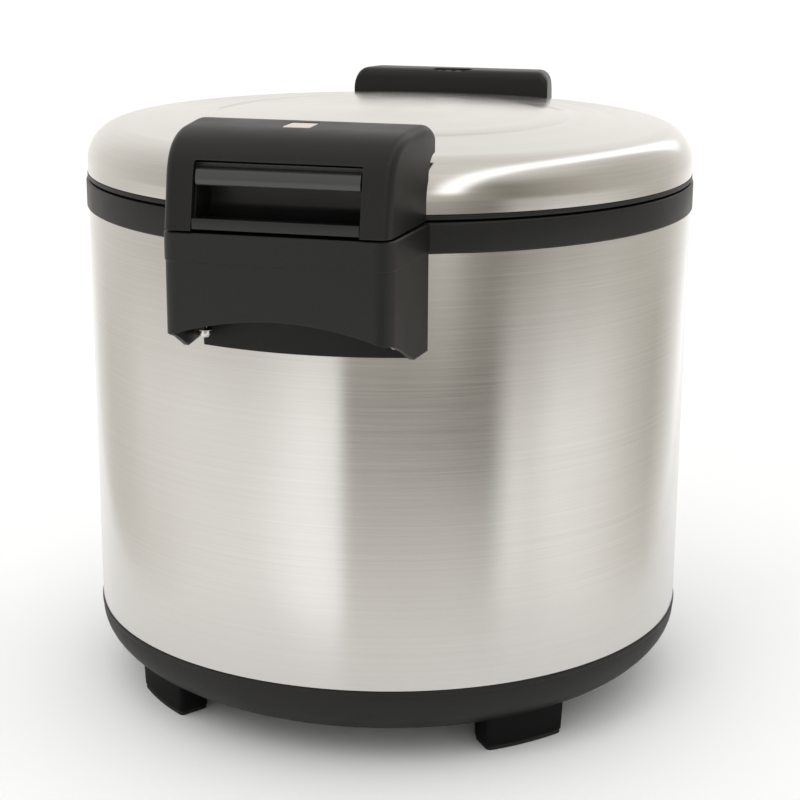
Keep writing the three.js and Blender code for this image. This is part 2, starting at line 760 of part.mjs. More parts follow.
function hingeScrews() {
  return [-40, 40].map((x, i) => {
    const head = bar("z", 4, 0, 2.5, [0, 0], 12);
    const screw = piece(`hinge_screw_${i ? "right" : "left"}`, head, MATERIALS.zinc);
    screw.position.set(x, 172, 335.9);
    return screw;
  });
}

// ---------------------------------------------------------------- controls and mains inlet

/** Plastic panel bent to the drum, with a slot for the lever and a hole for each lamp. */
function controlPanel() {
  const { halfWidth: half, bottom, top, thickness } = PANEL;
  const inner = DRUM_RADIUS + GAP;
  const window = alongY(rounded(-half, bottom, half, top, 9), 100, 260, 4).rotate([0, 0, 90]);
  const slot = block([-210, -6, COOK_LEVER.height - 12], [-170, 6, COOK_LEVER.height + 5.5]);
  const lampHole = (y) => bar("x", LAMP.radius + 0.3, -210, -170, [y, LAMP.height]);
  return [-LAMP.offset, LAMP.offset].map(lampHole).reduce(
    (made, hole) => made.subtract(hole),
    hoop(inner, inner + thickness, bottom, top, 96).intersect(window).subtract(slot),
  );
}

/** Switch block behind the panel. The lever's stub shafts turn in its cheeks. */
function switchBlock() {
  const { pivotX, height } = COOK_LEVER;
  return block([-187.4, -12.5, 80], [-171.5, 12.5, 122])
    .subtract(block([-200, -8, 84], [-174.5, 8, 118]))
    .subtract(bar("y", 2.3, -11, 11, [pivotX, height]));
}

/** Cook and warm lever: a ridged paddle outside, an arm through the slot and a hub with stub shafts. */
function cookLever() {
  const { pivotX, height } = COOK_LEVER;
  const paddle = new THREE.Shape();
  paddle.moveTo(-196.6, height - 8);
  paddle.quadraticCurveTo(-199.6, height, -196.6, height + 8);
  paddle.lineTo(-194.4, height + 5.5);
  paddle.lineTo(-194.4, height - 5.5);
  paddle.closePath();
  return alongY(paddle, -13, 13, 5)
    .add(block([-195.5, -4, height - 3], [pivotX, 4, height + 3]))
    .add(bar("y", 4.5, -7, 7, [pivotX, height]))
    .add(bar("y", 2, -10.5, 10.5, [pivotX, height]));
}

/** Domed lens with a flange behind the panel, drawn along Z and laid over towards -X. */
function lampLens() {
  const { radius } = LAMP;
  const flange = radius + 1.5;
  return turned(
    [[0, -7], [flange, -7], [flange, -5], [radius, -5], [radius, 1.5], [4, 3.2], [0, 3.8]],
    16,
  );
}

function lamps() {
  const lenses = {
    cook_lamp: [LAMP.offset, MATERIALS.redLens],
    warm_lamp: [-LAMP.offset, MATERIALS.amberLens],
  };
  return Object.entries(lenses).map(([name, [y, material]]) => {
    const lens = piece(name, lampLens(), material);
    lens.rotation.y = -Math.PI / 2;
    lens.position.set(-192.6, y, LAMP.height);
    return lens;
  });
}

/** Flat-faced plate on the back of the drum round the mains inlet. */
function rearPlate() {
  const { halfWidth: half, bottom, top, face } = REAR_PLATE;
  const drum = turned([[0, 0], [DRUM_RADIUS + GAP, 0], [DRUM_RADIUS + GAP, 200], [0, 200]], 96);
  const inlet = block([-14.4, 150, INLET_HEIGHT - 10.4], [14.4, 210, INLET_HEIGHT + 10.4]);
  return alongY(rounded(-half, bottom, half, top, 6), 178, face, 4).subtract(drum).subtract(inlet);
}

/** Appliance inlet: a flange and a deep socket, open to the back. */
function powerInlet() {
  const height = INLET_HEIGHT;
  const { face } = REAR_PLATE;
  const flange = alongY(rounded(-17, height - 13, 17, height + 13, 3), face + GAP, face + 2.4, 3);
  const shell = block([-14, 173, height - 10], [14, face + 2, height + 10]);
  const mouth = outline([
    [-12, height - 8], [12, height - 8], [12, height + 4],
    [8, height + 8], [-8, height + 8], [-12, height + 4],
  ]);
  const terminalHole = block([-9, 170, height - 6], [9, 180, height + 2.6]);
  return flange.add(shell).subtract(alongY(mouth, 177, 210)).subtract(terminalHole);
}

/** Three flat pins on one terminal block, standing in the socket. */
function inletTerminals() {
  const height = INLET_HEIGHT;
  const pin = (x, z) => block([x - 1, 174, height + z - 2], [x + 1, 190.5, height + z + 2]);
  const terminal = block([-8.6, 170.6, height - 5.6], [8.6, 176.6, height + 2.2]);
  return terminal.add(pin(-7, -3)).add(pin(7, -3)).add(pin(0, 0));
}

// ---------------------------------------------------------------- assembly

function bodyGroup() {
  const group = new THREE.Group();
  group.add(
    piece("base_ring", baseRing(), MATERIALS.blackPlastic),
    piece("bottom_cover", bottomCover(), MATERIALS.sheetSteel),
    feet(),
    piece("body_shell", bodyShell(), MATERIALS.brushedSteel),
    piece("top_ring", topRing(), MATERIALS.blackPlastic),
    piece("inner_liner", innerLiner(), MATERIALS.sheetSteel),
    piece("warming_heater", warmingHeater(), MATERIALS.heaterFoil),
    piece("insulation_sleeve", insulation(), MATERIALS.glassFibre),
    piece("hot_plate", hotPlate(), MATERIALS.castAluminium),
    piece("heating_element", heatingElement(), MATERIALS.sheetSteel),
    piece("heater_stand", heaterStand(), MATERIALS.sheetSteel),
    piece("thermostat_bracket", thermostatBracket(), MATERIALS.sheetSteel),
    piece("thermostat_spring", thermostatSpring(), MATERIALS.zinc),
    piece("front_handle", frontHandle(), MATERIALS.blackPlastic),
    piece("front_back_plate", backPlate(57), MATERIALS.darkPlastic),
    piece("rear_handle", rearHandle(), MATERIALS.blackPlastic),
    piece("rear_back_plate", toRear(backPlate(57)), MATERIALS.darkPlastic),
    ...handleScrews(),
    piece("hinge_bracket", hingeBracket(), MATERIALS.darkPlastic),
    piece("hinge_pin", hingePin(), MATERIALS.zinc),
    piece("control_panel", controlPanel(), MATERIALS.blackPlastic),
    piece("switch_block", switchBlock(), MATERIALS.darkPlastic),
    ...lamps(),
    piece("rear_plate", rearPlate(), MATERIALS.blackPlastic),
    piece("power_inlet", powerInlet(), MATERIALS.darkPlastic),
    piece("inlet_terminals", inletTerminals(), MATERIALS.brass),
  );
  return group;
}

function lidGroup() {
  const group = new THREE.Group();
  group.add(
    piece("lid_shell", lidShell(), MATERIALS.brushedSteel),
    piece("lid_frame", lidFrame(), MATERIALS.blackPlastic),
    piece("lid_inner_plate", innerPlate(), MATERIALS.sheetSteel),
    piece("lid_gasket", lidGasket(), MATERIALS.silicone),
    piece("inner_plate_knob", plateKnob(), MATERIALS.blackPlastic),
    piece("latch_housing", latchHousing().subtract(badge(0.3)), MATERIALS.blackPlastic),
    piece("label_plate", badge(0), MATERIALS.label),
    piece("finger_tray", fingerTray(), MATERIALS.darkPlastic),
    piece("latch_pin_left", latchPin(-1), MATERIALS.zinc),
    piece("latch_pin_right", latchPin(1), MATERIALS.zinc),
    piece("latch_spring_left", latchSpring(-1), MATERIALS.zinc),
    piece("latch_spring_right", latchSpring(1), MATERIALS.zinc),
    piece("hinge_cover", hingeCover(), MATERIALS.blackPlastic),
    piece("steam_vent_cap", steamVent(0), MATERIALS.darkPlastic),
    piece("hinge_arm", hingeArm(), MATERIALS.darkPlastic),
    ...hingeScrews(),
  );
  return group;
}

const cooker = new THREE.Group();
cooker.add(
  bodyGroup(),
  lidGroup(),
  piece("latch_lever", latchLever(), MATERIALS.blackPlastic),
  piece("cooking_pot", cookingPot(), MATERIALS.pot),
  piece("thermostat", thermostat(), MATERIALS.castAluminium),
  piece("cook_lever", cookLever(), MATERIALS.blackPlastic),
);

export default cooker;
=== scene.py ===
"""Rice cooker: the looks. Lengths in this script are millimetres unless a name says otherwise."""

from math import atan2, ceil, cos, floor, pi, radians, sin, sqrt

import bmesh
import bpy
from mathutils import Matrix, Vector


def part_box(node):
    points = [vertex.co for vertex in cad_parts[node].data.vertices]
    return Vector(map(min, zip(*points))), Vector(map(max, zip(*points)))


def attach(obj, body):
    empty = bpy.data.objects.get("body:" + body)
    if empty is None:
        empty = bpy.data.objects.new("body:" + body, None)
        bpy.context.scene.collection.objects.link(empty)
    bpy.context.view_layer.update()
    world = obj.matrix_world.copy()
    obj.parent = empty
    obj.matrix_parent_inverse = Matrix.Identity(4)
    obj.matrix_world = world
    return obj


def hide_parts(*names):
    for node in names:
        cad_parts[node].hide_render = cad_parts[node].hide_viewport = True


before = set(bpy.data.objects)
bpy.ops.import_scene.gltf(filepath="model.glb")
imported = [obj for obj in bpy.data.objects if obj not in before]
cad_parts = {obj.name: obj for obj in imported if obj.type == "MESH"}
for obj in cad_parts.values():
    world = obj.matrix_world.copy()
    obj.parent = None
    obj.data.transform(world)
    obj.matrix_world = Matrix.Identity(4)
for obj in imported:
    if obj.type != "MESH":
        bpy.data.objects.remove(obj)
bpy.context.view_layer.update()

MM = 0.001


# ---- sizes taken from the frame


def low(node):
    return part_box(node)[0] / MM


def high(node):
    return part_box(node)[1] / MM


DRUM_RADIUS = high("body_shell").x
BASE_FLOOR = low("base_ring").z
BASE_TOP = low("body_shell").z
DRUM_TOP = high("body_shell").z
RING_TOP = high("top_ring").z
LID_BOTTOM = low("lid_frame").z
LID_STEEL_BOTTOM = low("lid_shell").z
FACE = high("rear_handle").y
SHEET = 1.2
WALL = 3

LID_CORNER = 23
LID_SHOULDER = LID_STEEL_BOTTOM + 6.9
LID_CREASE = 112
LID_DOME = 2.5
LID_TOP = high("lid_shell").z

# The boxes taper in plan, from half a width at the drum to half a width at the face.
LATCH_BOX = {
    "at_drum": 65.6,
    "at_face": 61.3,
    "inner": -high("latch_housing").y,
    "top": high("latch_housing").z,
    "edge": 5.5,
    "crown": (18, 4),
}
HINGE_BOX = {
    "at_drum": 70,
    "at_face": 63,
    "inner": low("hinge_cover").y,
    "top": high("hinge_cover").z,
    "edge": 8,
    "crown": (9, 6),
}
CROWN_STEPS = 8
FRONT_HANDLE = {"at_drum": 67.8, "at_face": 62.7, "shelf": 322.6}
REAR_HANDLE = {"at_drum": 72, "at_face": 64.5, "shelf": 315.5}
TAPER_START = 180
SCREW_X = (low("handle_screw_front_right").x + high("handle_screw_front_right").x) / 2
SCREW_DISTANCE = -(low("handle_screw_front_right").y + high("handle_screw_front_right").y) / 2
SCREW_HEAD = low("handle_screw_front_right").z + 5.3

# Joint axes as (distance from the drum's axis, height).
LATCH_AXIS = (216, 340)
HINGE_AXIS = (236, 327)
LATCH_ARM_X = 47.7
BARREL_RADIUS, BARREL_HALF_LENGTH = 5.6, 62.6
VENT_CORNER = 6.8
LAID_ALONG_X = Matrix.Rotation(pi / 2, 4, "Y")
LAID_ALONG_Y = Matrix.Rotation(pi / 2, 4, "X")


# ---- mesh tools


def corner_arc(before, corner, after, radius, steps):
    """Points of the arc that rounds a corner between two straight stretches."""
    corner = Vector(corner)
    to_before = (Vector(before) - corner).normalized()
    to_after = (Vector(after) - corner).normalized()
    opening = to_before.angle(to_after)
    if radius <= 0 or opening > radians(179):
        return [tuple(corner)]
    reach = radius / abs(sin(opening / 2) / cos(opening / 2))
    centre = corner + (to_before + to_after).normalized() * (radius / sin(opening / 2))
    start = corner + to_before * reach - centre
    end = corner + to_after * reach - centre
    turn = atan2(start.x * end.y - start.y * end.x, start.dot(end))
    made = []
    for i in range(steps + 1):
        angle = turn * i / steps
        made.append(
            (
                centre.x + start.x * cos(angle) - start.y * sin(angle),
                centre.y + start.x * sin(angle) + start.y * cos(angle),
            )
        )
    return made


def rounded(points, steps=5, closed=True):
    """An outline from corners (a, b) or (a, b, radius), with each corner rounded by its radius."""
    made = []
    count = len(points)
    for i, (a, b, *rest) in enumerate(points):
        at_end = not closed and i in (0, count - 1)
        if at_end or not rest:
            made.append((a, b))
            continue
        made += corner_arc(points[i - 1][:2], (a, b), points[(i + 1) % count][:2], rest[0], steps)
    return made


def new_object(name, bm):
    """A named object from a bmesh in millimetres, with its faces turned outwards."""
    bmesh.ops.remove_doubles(bm, verts=bm.verts, dist=1e-4)
    bmesh.ops.recalc_face_normals(bm, faces=bm.faces)
    bmesh.ops.scale(bm, vec=(MM, MM, MM), verts=bm.verts)
    mesh = bpy.data.meshes.new(name)
    bm.to_mesh(mesh)
    bm.free()
    made = bpy.data.objects.new(name, mesh)
    bpy.context.scene.collection.objects.link(made)
    return made


def lathe(name, profile, segments):
    """A closed profile of (radius, height) turned about Z. It may start and end on the axis."""
    on_axis = profile[0][0] == 0 and profile[-1][0] == 0
    bm = bmesh.new()
    rings = []
    for radius, height in profile:
        if radius == 0:
            rings.append([bm.verts.new((0, 0, height))])
            continue
        turns = (2 * pi * i / segments for i in range(segments))
        rings.append([bm.verts.new((radius * cos(t), radius * sin(t), height)) for t in turns])
    if not on_axis:
        rings.append(rings[0])
    for near, far in zip(rings, rings[1:]):
        for i in range(segments):
            j = (i + 1) % segments
            corners = [near[i % len(near)], near[j % len(near)], far[j % len(far)], far[i % len(far)]]
            bm.faces.new(list(dict.fromkeys(corners)))
    return new_object(name, bm)


def loft(name, rings):
    """A solid through closed rings of points, each as long as the next, with flat ends."""
    bm = bmesh.new()
    rows = [[bm.verts.new(point) for point in ring] for ring in rings]
    for near, far in zip(rows, rows[1:]):
        for i in range(len(near)):
            j = (i + 1) % len(near)
            bm.faces.new((near[i], near[j], far[j], far[i]))
    bm.faces.new(rows[0])
    bm.faces.new(rows[-1])
    return new_object(name, bm)


def prism_x(name, outline, half_width, centre_x=0):
    """A solid from an outline in (distance in front of the axis, height)."""
    return loft(name, [[(centre_x + x, -d, z) for d, z in outline] for x in (-half_width, half_width)])


def prism_y(name, outline, start, end):
    """A solid from an outline in (x, height), between two stations on Y."""
    return loft(name, [[(x, y, z) for x, z in outline] for y in (start, end)])


def prism_z(name, outline, start, end):
    """A solid from a plan in (x, y), between two heights."""
    return loft(name, [[(x, y, z) for x, y in outline] for z in (start, end)])


def block(name, near, far):
    """A box between two opposite corners."""
    (x0, y0, z0), (x1, y1, z1) = near, far
    return prism_z(name, [(x0, y0), (x1, y0), (x1, y1), (x0, y1)], z0, z1)


def cylinder(name, radius, start, end, segments=32):
    """A cylinder about Z, between two heights."""
    return lathe(name, [(0, start), (radius, start), (radius, end), (0, end)], segments)


def put(made, place, turn=Matrix()):
    """Turns a piece about the origin, then moves the origin to a place."""
    made.data.transform(Matrix.Translation(Vector(place) * MM) @ turn)
    return made


def rectangle(near, far, radius, steps):
    """The outline between two opposite corners, each corner rounded."""
    (a0, b0), (a1, b1) = near, far
    return rounded([(a0, b0, radius), (a1, b0, radius), (a1, b1, radius), (a0, b1, radius)], steps)


def circle(centre, radius, steps):
    """The outline of a circle, as a regular polygon."""
    turns = [2 * pi * i / steps for i in range(steps)]
    return [(centre[0] + radius * cos(t), centre[1] + radius * sin(t)) for t in turns]


def plan_prism(name, node, grow, radius, start, end, steps=5):
    """A solid between two heights over the plan of a frame piece's box, grown on all sides."""
    near, far = low(node), high(node)
    plan = rectangle((near.x - grow, near.y - grow), (far.x + grow, far.y + grow), radius, steps)
    return prism_z(name, plan, start, end)


def inset(outline, amount):
    """The outline moved inwards by amount; it runs anticlockwise."""
    count = len(outline)
    made = []
    for i in range(count):
        before, here, after = (Vector(outline[(i + k) % count]) for k in (-1, 0, 1))
        along = (here - before).normalized()
        onward = (after - here).normalized()
        normal = Vector((-along.y - onward.y, along.x + onward.x)).normalized()
        lean = max(0.5, normal.dot(Vector((-along.y, along.x))))
        made.append(tuple(here + normal * (amount / lean)))
    return made


def half_width(box, distance):
    """Half the width of a tapering box at a distance in front of the drum's axis."""
    fraction = (distance - TAPER_START) / (FACE - TAPER_START)
    return box["at_drum"] + (box["at_face"] - box["at_drum"]) * fraction


def cut(target, *cutters, operation="DIFFERENCE"):
    """Applies a boolean with each cutter, and deletes the cutters."""
    for cutter in cutters:
        modifier = target.modifiers.new("cut", "BOOLEAN")
        modifier.operation = operation
        modifier.solver = "EXACT"
        modifier.object = cutter
        bpy.context.view_layer.update()
        evaluated = target.evaluated_get(bpy.context.evaluated_depsgraph_get())
        mesh = bpy.data.meshes.new_from_object(evaluated)
        target.modifiers.clear()
        old, target.data = target.data, mesh
        bpy.data.meshes.remove(old)
        bpy.data.objects.remove(cutter)
    return target


def join(target, *others):
    return cut(target, *others, operation="UNION")


def turn_to_rear(made):
    """Turns a piece drawn at the front half a turn round the drum."""
    made.data.transform(Matrix.Rotation(pi, 4, "Z"))
    return made


def round_edges(made, width, angle):
    """Adds a bevel to the edges sharper than an angle in degrees."""
    modifier = made.modifiers.new("edges", "BEVEL")
    modifier.width = width * MM
    modifier.segments = 2
    modifier.limit_method = "ANGLE"
    modifier.angle_limit = radians(angle)
    return modifier


def finish_piece(made, body, material, *nodes, slot, edge=0, angle=35):
    """Rounds the piece's edges, smooths it, gives it a material, and seats it on its body."""
    if edge:
        modifier = round_edges(made, edge, angle)
        modifier.harden_normals = True
        modifier.miter_outer = "MITER_ARC"
    for polygon in made.data.polygons:
        polygon.use_smooth = True
    made.data.set_sharp_from_angle(angle=radians(angle))
    made.data.materials.clear()
    made.data.materials.append(material)
    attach(made, body)
    if nodes:
        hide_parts(*nodes)


# ---- materials


class NodeTree:
    """Short ways to add and join nodes."""

    def __init__(self, tree):
        self.tree = tree

    def node(self, kind, **settings):
        made = self.tree.nodes.new(kind)
        for key, value in settings.items():
            setattr(made, key, value)
        return made

    def link(self, source, target):
        self.tree.links.new(source, target)

    def spread(self, value, from_low, from_high, to_low=0.0, to_high=1.0):
        """Maps one range of values onto another, and stops at its ends."""
        made = self.node("ShaderNodeMapRange")
        made.inputs["From Min"].default_value = from_low
        made.inputs["From Max"].default_value = from_high
        made.inputs["To Min"].default_value = to_low
        made.inputs["To Max"].default_value = to_high
        self.link(value, made.inputs["Value"])
        return made.outputs["Result"]

    def maths(self, operation, a, b):
        """The result of an operation on two values, each a number or an output."""
        made = self.node("ShaderNodeMath", operation=operation)
        for value, socket in ((a, made.inputs[0]), (b, made.inputs[1])):
            if isinstance(value, (int, float)):
                socket.default_value = value
            else:
                self.link(value, socket)
        return made.outputs[0]

    def mix(self, factor, a, b):
        """A colour from a to b, each a tuple or an output."""
        made = self.node("ShaderNodeMix", data_type="RGBA")
        self.link(factor, made.inputs[0])
        for value, socket in ((a, made.inputs[6]), (b, made.inputs[7])):
            if isinstance(value, tuple):
                socket.default_value = (*value, 1)
            else:
                self.link(value, socket)
        return made.outputs[2]


class Shader(NodeTree):
    """A material, with its Principled shader."""

    def __init__(self, name):
        self.material = bpy.data.materials.new(name)
        self.material.use_nodes = True
        super().__init__(self.material.node_tree)
        self.principled = self.tree.nodes["Principled BSDF"]

    def feed(self, **outputs):
        """Links outputs to the Principled shader's sockets."""
        for key, output in outputs.items():
            self.link(output, self.principled.inputs[key.replace("_", " ")])

    def set(self, **values):
        for key, value in values.items():
            self.principled.inputs[key.replace("_", " ")].default_value = value

    def position(self, scale=(1, 1, 1)):
        """Object coordinates, stretched."""
        mapping = self.node("ShaderNodeMapping")
        mapping.inputs["Scale"].default_value = scale
        self.link(self.node("ShaderNodeTexCoord").outputs["Object"], mapping.inputs["Vector"])
        return mapping.outputs["Vector"]

    def noise(self, where, scale, detail=2.0, roughness=0.5):
        made = self.node("ShaderNodeTexNoise")
        made.inputs["Scale"].default_value = scale
        made.inputs["Detail"].default_value = detail
        made.inputs["Roughness"].default_value = roughness
        self.link(where, made.inputs["Vector"])
        return made.outputs["Fac"]

    def bump(self, height, distance_mm, strength):
        made = self.node("ShaderNodeBump")
        made.inputs["Strength"].default_value = strength
        made.inputs["Distance"].default_value = distance_mm * MM
        self.link(height, made.inputs["Height"])
        return made.outputs["Normal"]

    def edge_mask(self, radius_mm):
        """0 on flat faces, rising to 1 on edges that touch things."""
        soft = self.node("ShaderNodeBevel", samples=4)
        soft.inputs["Radius"].default_value = radius_mm * MM
        geometry = self.node("ShaderNodeNewGeometry")
        dot = self.node("ShaderNodeVectorMath", operation="DOT_PRODUCT")
        self.link(soft.outputs["Normal"], dot.inputs[0])
        self.link(geometry.outputs["Normal"], dot.inputs[1])
        return self.spread(self.maths("SUBTRACT", 1.0, dot.outputs["Value"]), 0.02, 0.25)


def scaled(colour, factor, lift=0.0):
    """A colour made brighter or darker, never past 1."""
    return tuple(min(1, value * factor + lift) for value in colour)


def steel(name, colour, grain, roughness, anisotropy=0.0):
    """Brushed steel. grain scales object coordinates so that noise runs out into streaks."""
    shader = Shader(name)
    fine = shader.noise(shader.position(grain), 1.0, detail=3, roughness=0.65)
    coarse = shader.noise(shader.position(tuple(value * 0.22 for value in grain)), 1.0)
    cloudy = shader.noise(shader.position(), 9.0, detail=3)
    streaks = shader.maths("ADD", shader.maths("MULTIPLY", fine, 0.6), shader.maths("MULTIPLY", coarse, 0.4))
    wandering = shader.maths("ADD", shader.spread(cloudy, 0.3, 0.7, -0.02, 0.03), roughness)
    shader.feed(
        Base_Color=shader.mix(shader.spread(streaks, 0.34, 0.66), scaled(colour, 0.95), scaled(colour, 1.03)),
        Roughness=shader.maths("ADD", wandering, shader.spread(fine, 0.3, 0.7, -0.03, 0.04)),
        Normal=shader.bump(streaks, 0.0016, 0.6),
    )
    shader.set(Metallic=1.0)
    if anisotropy:
        shader.set(Anisotropic=anisotropy, Anisotropic_Rotation=0.25)
        around = shader.node("ShaderNodeTangent", direction_type="RADIAL", axis="Z")
        shader.feed(Tangent=around.outputs["Tangent"])
    return shader.material


# How much of its gloss a textured plastic keeps where it is seen edge-on.
EDGE_ON_GLOSS = 0.45


def plastic(name, colour, roughness=0.38, texture_mm=0.05, wear=0.02, specular=0.28, coarseness=2600):
    """Moulded plastic with a spark-eroded texture, faint dust and handling marks, and rubbed edges.

    The texture breaks up what it would mirror edge-on, so its gloss falls there.
    """
    shader = Shader(name)
    where = shader.position()
    pores = shader.noise(where, coarseness, roughness=0.6)
    smears = shader.noise(where, 22.0, detail=4, roughness=0.6)
    dust = shader.noise(where, 900.0, detail=1)
    smeared = shader.mix(shader.spread(smears, 0.35, 0.75, 0, 0.12), colour, scaled(colour, 1, wear * 0.5))
    speckled = shader.mix(shader.spread(dust, 0.68, 0.8, 0, 0.10), smeared, (0.12, 0.115, 0.11))
    rubbing = shader.maths("MULTIPLY", shader.edge_mask(1.2), 0.5)
    facing = shader.node("ShaderNodeLayerWeight")
    facing.inputs["Blend"].default_value = 0.5
    edge_on = facing.outputs["Facing"]
    shader.feed(
        Base_Color=shader.mix(rubbing, speckled, scaled(colour, 1, wear)),
        Roughness=shader.maths("ADD", shader.spread(smears, 0.3, 0.7, -0.04, 0.06), roughness),
        Normal=shader.bump(pores, texture_mm, 0.5),
        Specular_IOR_Level=shader.spread(edge_on, 0.3, 0.8, specular, specular * EDGE_ON_GLOSS),
    )
    return shader.material


def rubber(name, colour):
    """Rubber or silicone with a chalky bloom."""
    shader = Shader(name)
    where = shader.position()
    grain = shader.noise(where, 1800.0, detail=3)
    chalk = shader.noise(where, 60.0, detail=4)
    shader.feed(
        Base_Color=shader.mix(shader.spread(chalk, 0.4, 0.75, 0, 0.6), colour, scaled(colour, 1.2, 0.012)),
        Roughness=shader.spread(chalk, 0.3, 0.7, 0.72, 0.9),
        Normal=shader.bump(grain, 0.08, 0.6),
    )
    return shader.material


def cast_metal(name, colour, roughness, grain_mm=0.08, coarseness=700):
    """Cast or plated metal: fine grain and cloudy tone."""
    shader = Shader(name)
    where = shader.position()
    grain = shader.noise(where, coarseness, detail=3)
    clouds = shader.noise(where, 30.0, detail=4)
    shader.feed(
        Base_Color=shader.mix(shader.spread(clouds, 0.3, 0.7), scaled(colour, 0.8), colour),
        Roughness=shader.maths("ADD", shader.spread(grain, 0.3, 0.7, -0.06, 0.08), roughness),
        Normal=shader.bump(grain, grain_mm, 0.5),
    )
    shader.set(Metallic=1.0)
    return shader.material


def spun_metal(name, colour, roughness):
    """Spun aluminium, with turning rings about Z."""
    shader = Shader(name)
    where = shader.position()
    split = shader.node("ShaderNodeSeparateXYZ")
    shader.link(where, split.inputs[0])
    x_squared, y_squared = (shader.maths("POWER", split.outputs[axis], 2.0) for axis in "XY")
    radius = shader.maths("POWER", shader.maths("ADD", x_squared, y_squared), 0.5)
    ring_place = shader.node("ShaderNodeCombineXYZ")
    shader.link(shader.maths("MULTIPLY", radius, 900.0), ring_place.inputs["X"])
    shader.link(shader.maths("MULTIPLY", split.outputs["Z"], 900.0), ring_place.inputs["Z"])
    rings = shader.noise(ring_place.outputs[0], 1.0)
    clouds = shader.noise(where, 25.0, detail=3)
    shader.feed(
        Base_Color=shader.mix(shader.spread(clouds, 0.3, 0.7), scaled(colour, 0.85), colour),
        Roughness=shader.maths("ADD", shader.spread(rings, 0.3, 0.7, -0.05, 0.05), roughness),
        Normal=shader.bump(rings, 0.02, 0.6),
    )
    shader.set(Metallic=1.0)
    return shader.material


def lens(name, colour):
    """Tinted lamp lens with a prismatic back."""
    shader = Shader(name)
    where = shader.position()
    facets = shader.node("ShaderNodeTexVoronoi")
    facets.inputs["Scale"].default_value = 900.0
    shader.link(where, facets.inputs["Vector"])
    prisms = shader.spread(facets.outputs["Distance"], 0, 0.7)
    smears = shader.noise(where, 120.0, detail=3)
    shader.feed(
        Base_Color=shader.mix(prisms, scaled(colour, 1.5, 0.03), colour),
        Roughness=shader.spread(smears, 0.3, 0.7, 0.12, 0.26),
    )
    shader.set(Coat_Weight=0.6, Coat_Roughness=0.08)
    return shader.material


def woven(name, colour):
    """Felted glass fibre."""
    shader = Shader(name)
    fibres = shader.noise(shader.position(), 420.0, detail=5, roughness=0.7)
    shader.feed(
        Base_Color=shader.mix(shader.spread(fibres, 0.3, 0.7), scaled(colour, 0.7), colour),
        Roughness=shader.spread(fibres, 0.3, 0.7, 0.8, 1.0),
        Normal=shader.bump(fibres, 0.6, 0.8),
    )
    return shader.material


BRUSHED_ROUND = (14, 14, 5200)
ROLLED = (40, 900, 900)

DRUM_STEEL = steel("drum_steel", (0.65, 0.635, 0.61), BRUSHED_ROUND, 0.19, anisotropy=0.8)
LID_STEEL = steel("lid_steel", (0.67, 0.655, 0.63), BRUSHED_ROUND, 0.16, anisotropy=0.4)
SHEET_STEEL = steel("sheet_steel", (0.62, 0.62, 0.62), ROLLED, 0.34)
POT_METAL = spun_metal("pot_metal", (0.78, 0.78, 0.77), 0.28)
PLATE_METAL = spun_metal("plate_metal", (0.66, 0.66, 0.65), 0.38)
CASTING = cast_metal("casting", (0.60, 0.60, 0.59), 0.45)
ZINC = cast_metal("zinc_plate", (0.72, 0.71, 0.69), 0.24, grain_mm=0.01, coarseness=1500)
BRASS = cast_metal("brass", (0.70, 0.52, 0.24), 0.32, grain_mm=0.02)
FOIL = cast_metal("heater_foil", (0.55, 0.54, 0.50), 0.36, grain_mm=0.25, coarseness=260)
BLACK = plastic("black_plastic", (0.0095, 0.0095, 0.0090))
BASE_BLACK = plastic("base_plastic", (0.010, 0.0095, 0.009), roughness=0.46)
DARK = plastic("dark_plastic", (0.005, 0.005, 0.005), roughness=0.5, specular=0.3)
TRAY_BLACK = plastic("tray_plastic", (0.010, 0.010, 0.010), roughness=0.34, specular=0.4)
# The latch bar's plastic is the body's black made several times lighter. This is painted light, standing in
# for the light the bar catches from above the front.
BAR_PAINTED_LIGHT_BLACK = plastic("bar_plastic_painted_light", (0.036, 0.036, 0.036), roughness=0.32, wear=0.04, specular=0.5)
# The feet's plastic is darker and duller than the base's. This is painted shade, standing in for the shade
# the feet sit in under the base.
FOOT_PAINTED_SHADE_BLACK = plastic("foot_plastic_painted_shade", (0.003, 0.003, 0.003), roughness=0.55, wear=0.01, specular=0.1)
BRACKET_BLACK = plastic("bracket_paint", (0.014, 0.014, 0.014), wear=0.12, coarseness=900)
SOLE = rubber("sole_rubber", (0.004, 0.004, 0.004))
SEAL = rubber("seal_silicone", (0.52, 0.50, 0.45))
LABEL = plastic("blank_label", (0.62, 0.55, 0.50), roughness=0.35, texture_mm=0.01)
FIBRE = woven("glass_fibre", (0.74, 0.69, 0.55))
RED = lens("red_lens", (0.42, 0.015, 0.01))
AMBER = lens("amber_lens", (0.62, 0.24, 0.02))


# ---- drum, base and rings


def lid_face(offset, steps=22):
    """(radius, height) of the lid's outer face moved out by offset, from its edge to its middle."""
    centre = DRUM_RADIUS - LID_CORNER
    radius = LID_CORNER + offset
    made = []
    for i in range(steps + 1):
        angle = radians(84) * i / steps
        made.append((centre + radius * cos(angle), LID_SHOULDER + radius * sin(angle)))
    rise = LID_TOP - LID_DOME + offset
    slope_end = (LID_CREASE + 2.2, rise - 0.9, 1)
    made += rounded([made[-1], slope_end, (LID_CREASE, rise)], closed=False)[1:]
    for i in range(1, 9):
        radius = LID_CREASE * (1 - i / 8)
        made.append((radius, rise + LID_DOME * (1 - (radius / LID_CREASE) ** 2)))
    return made


def lid_bulk(name, offset):
    return lathe(name, [(0, 200), (DRUM_RADIUS + offset, 200), *lid_face(offset, 12)], 128)


def base_face(offset, steps=16):
    """(radius, height) of the base's curved side, from its lip down to its underside."""
    centre = (120.3, 46.6)
    half = (69.9 + offset, 37.8 + offset)
    end = (centre[1] - BASE_FLOOR + offset) / half[1]
    last = atan2(end, sqrt(max(0, 1 - end * end)))
    return [
        (centre[0] + half[0] * cos(last * i / steps), centre[1] - half[1] * sin(last * i / steps))
        for i in range(steps + 1)
    ]


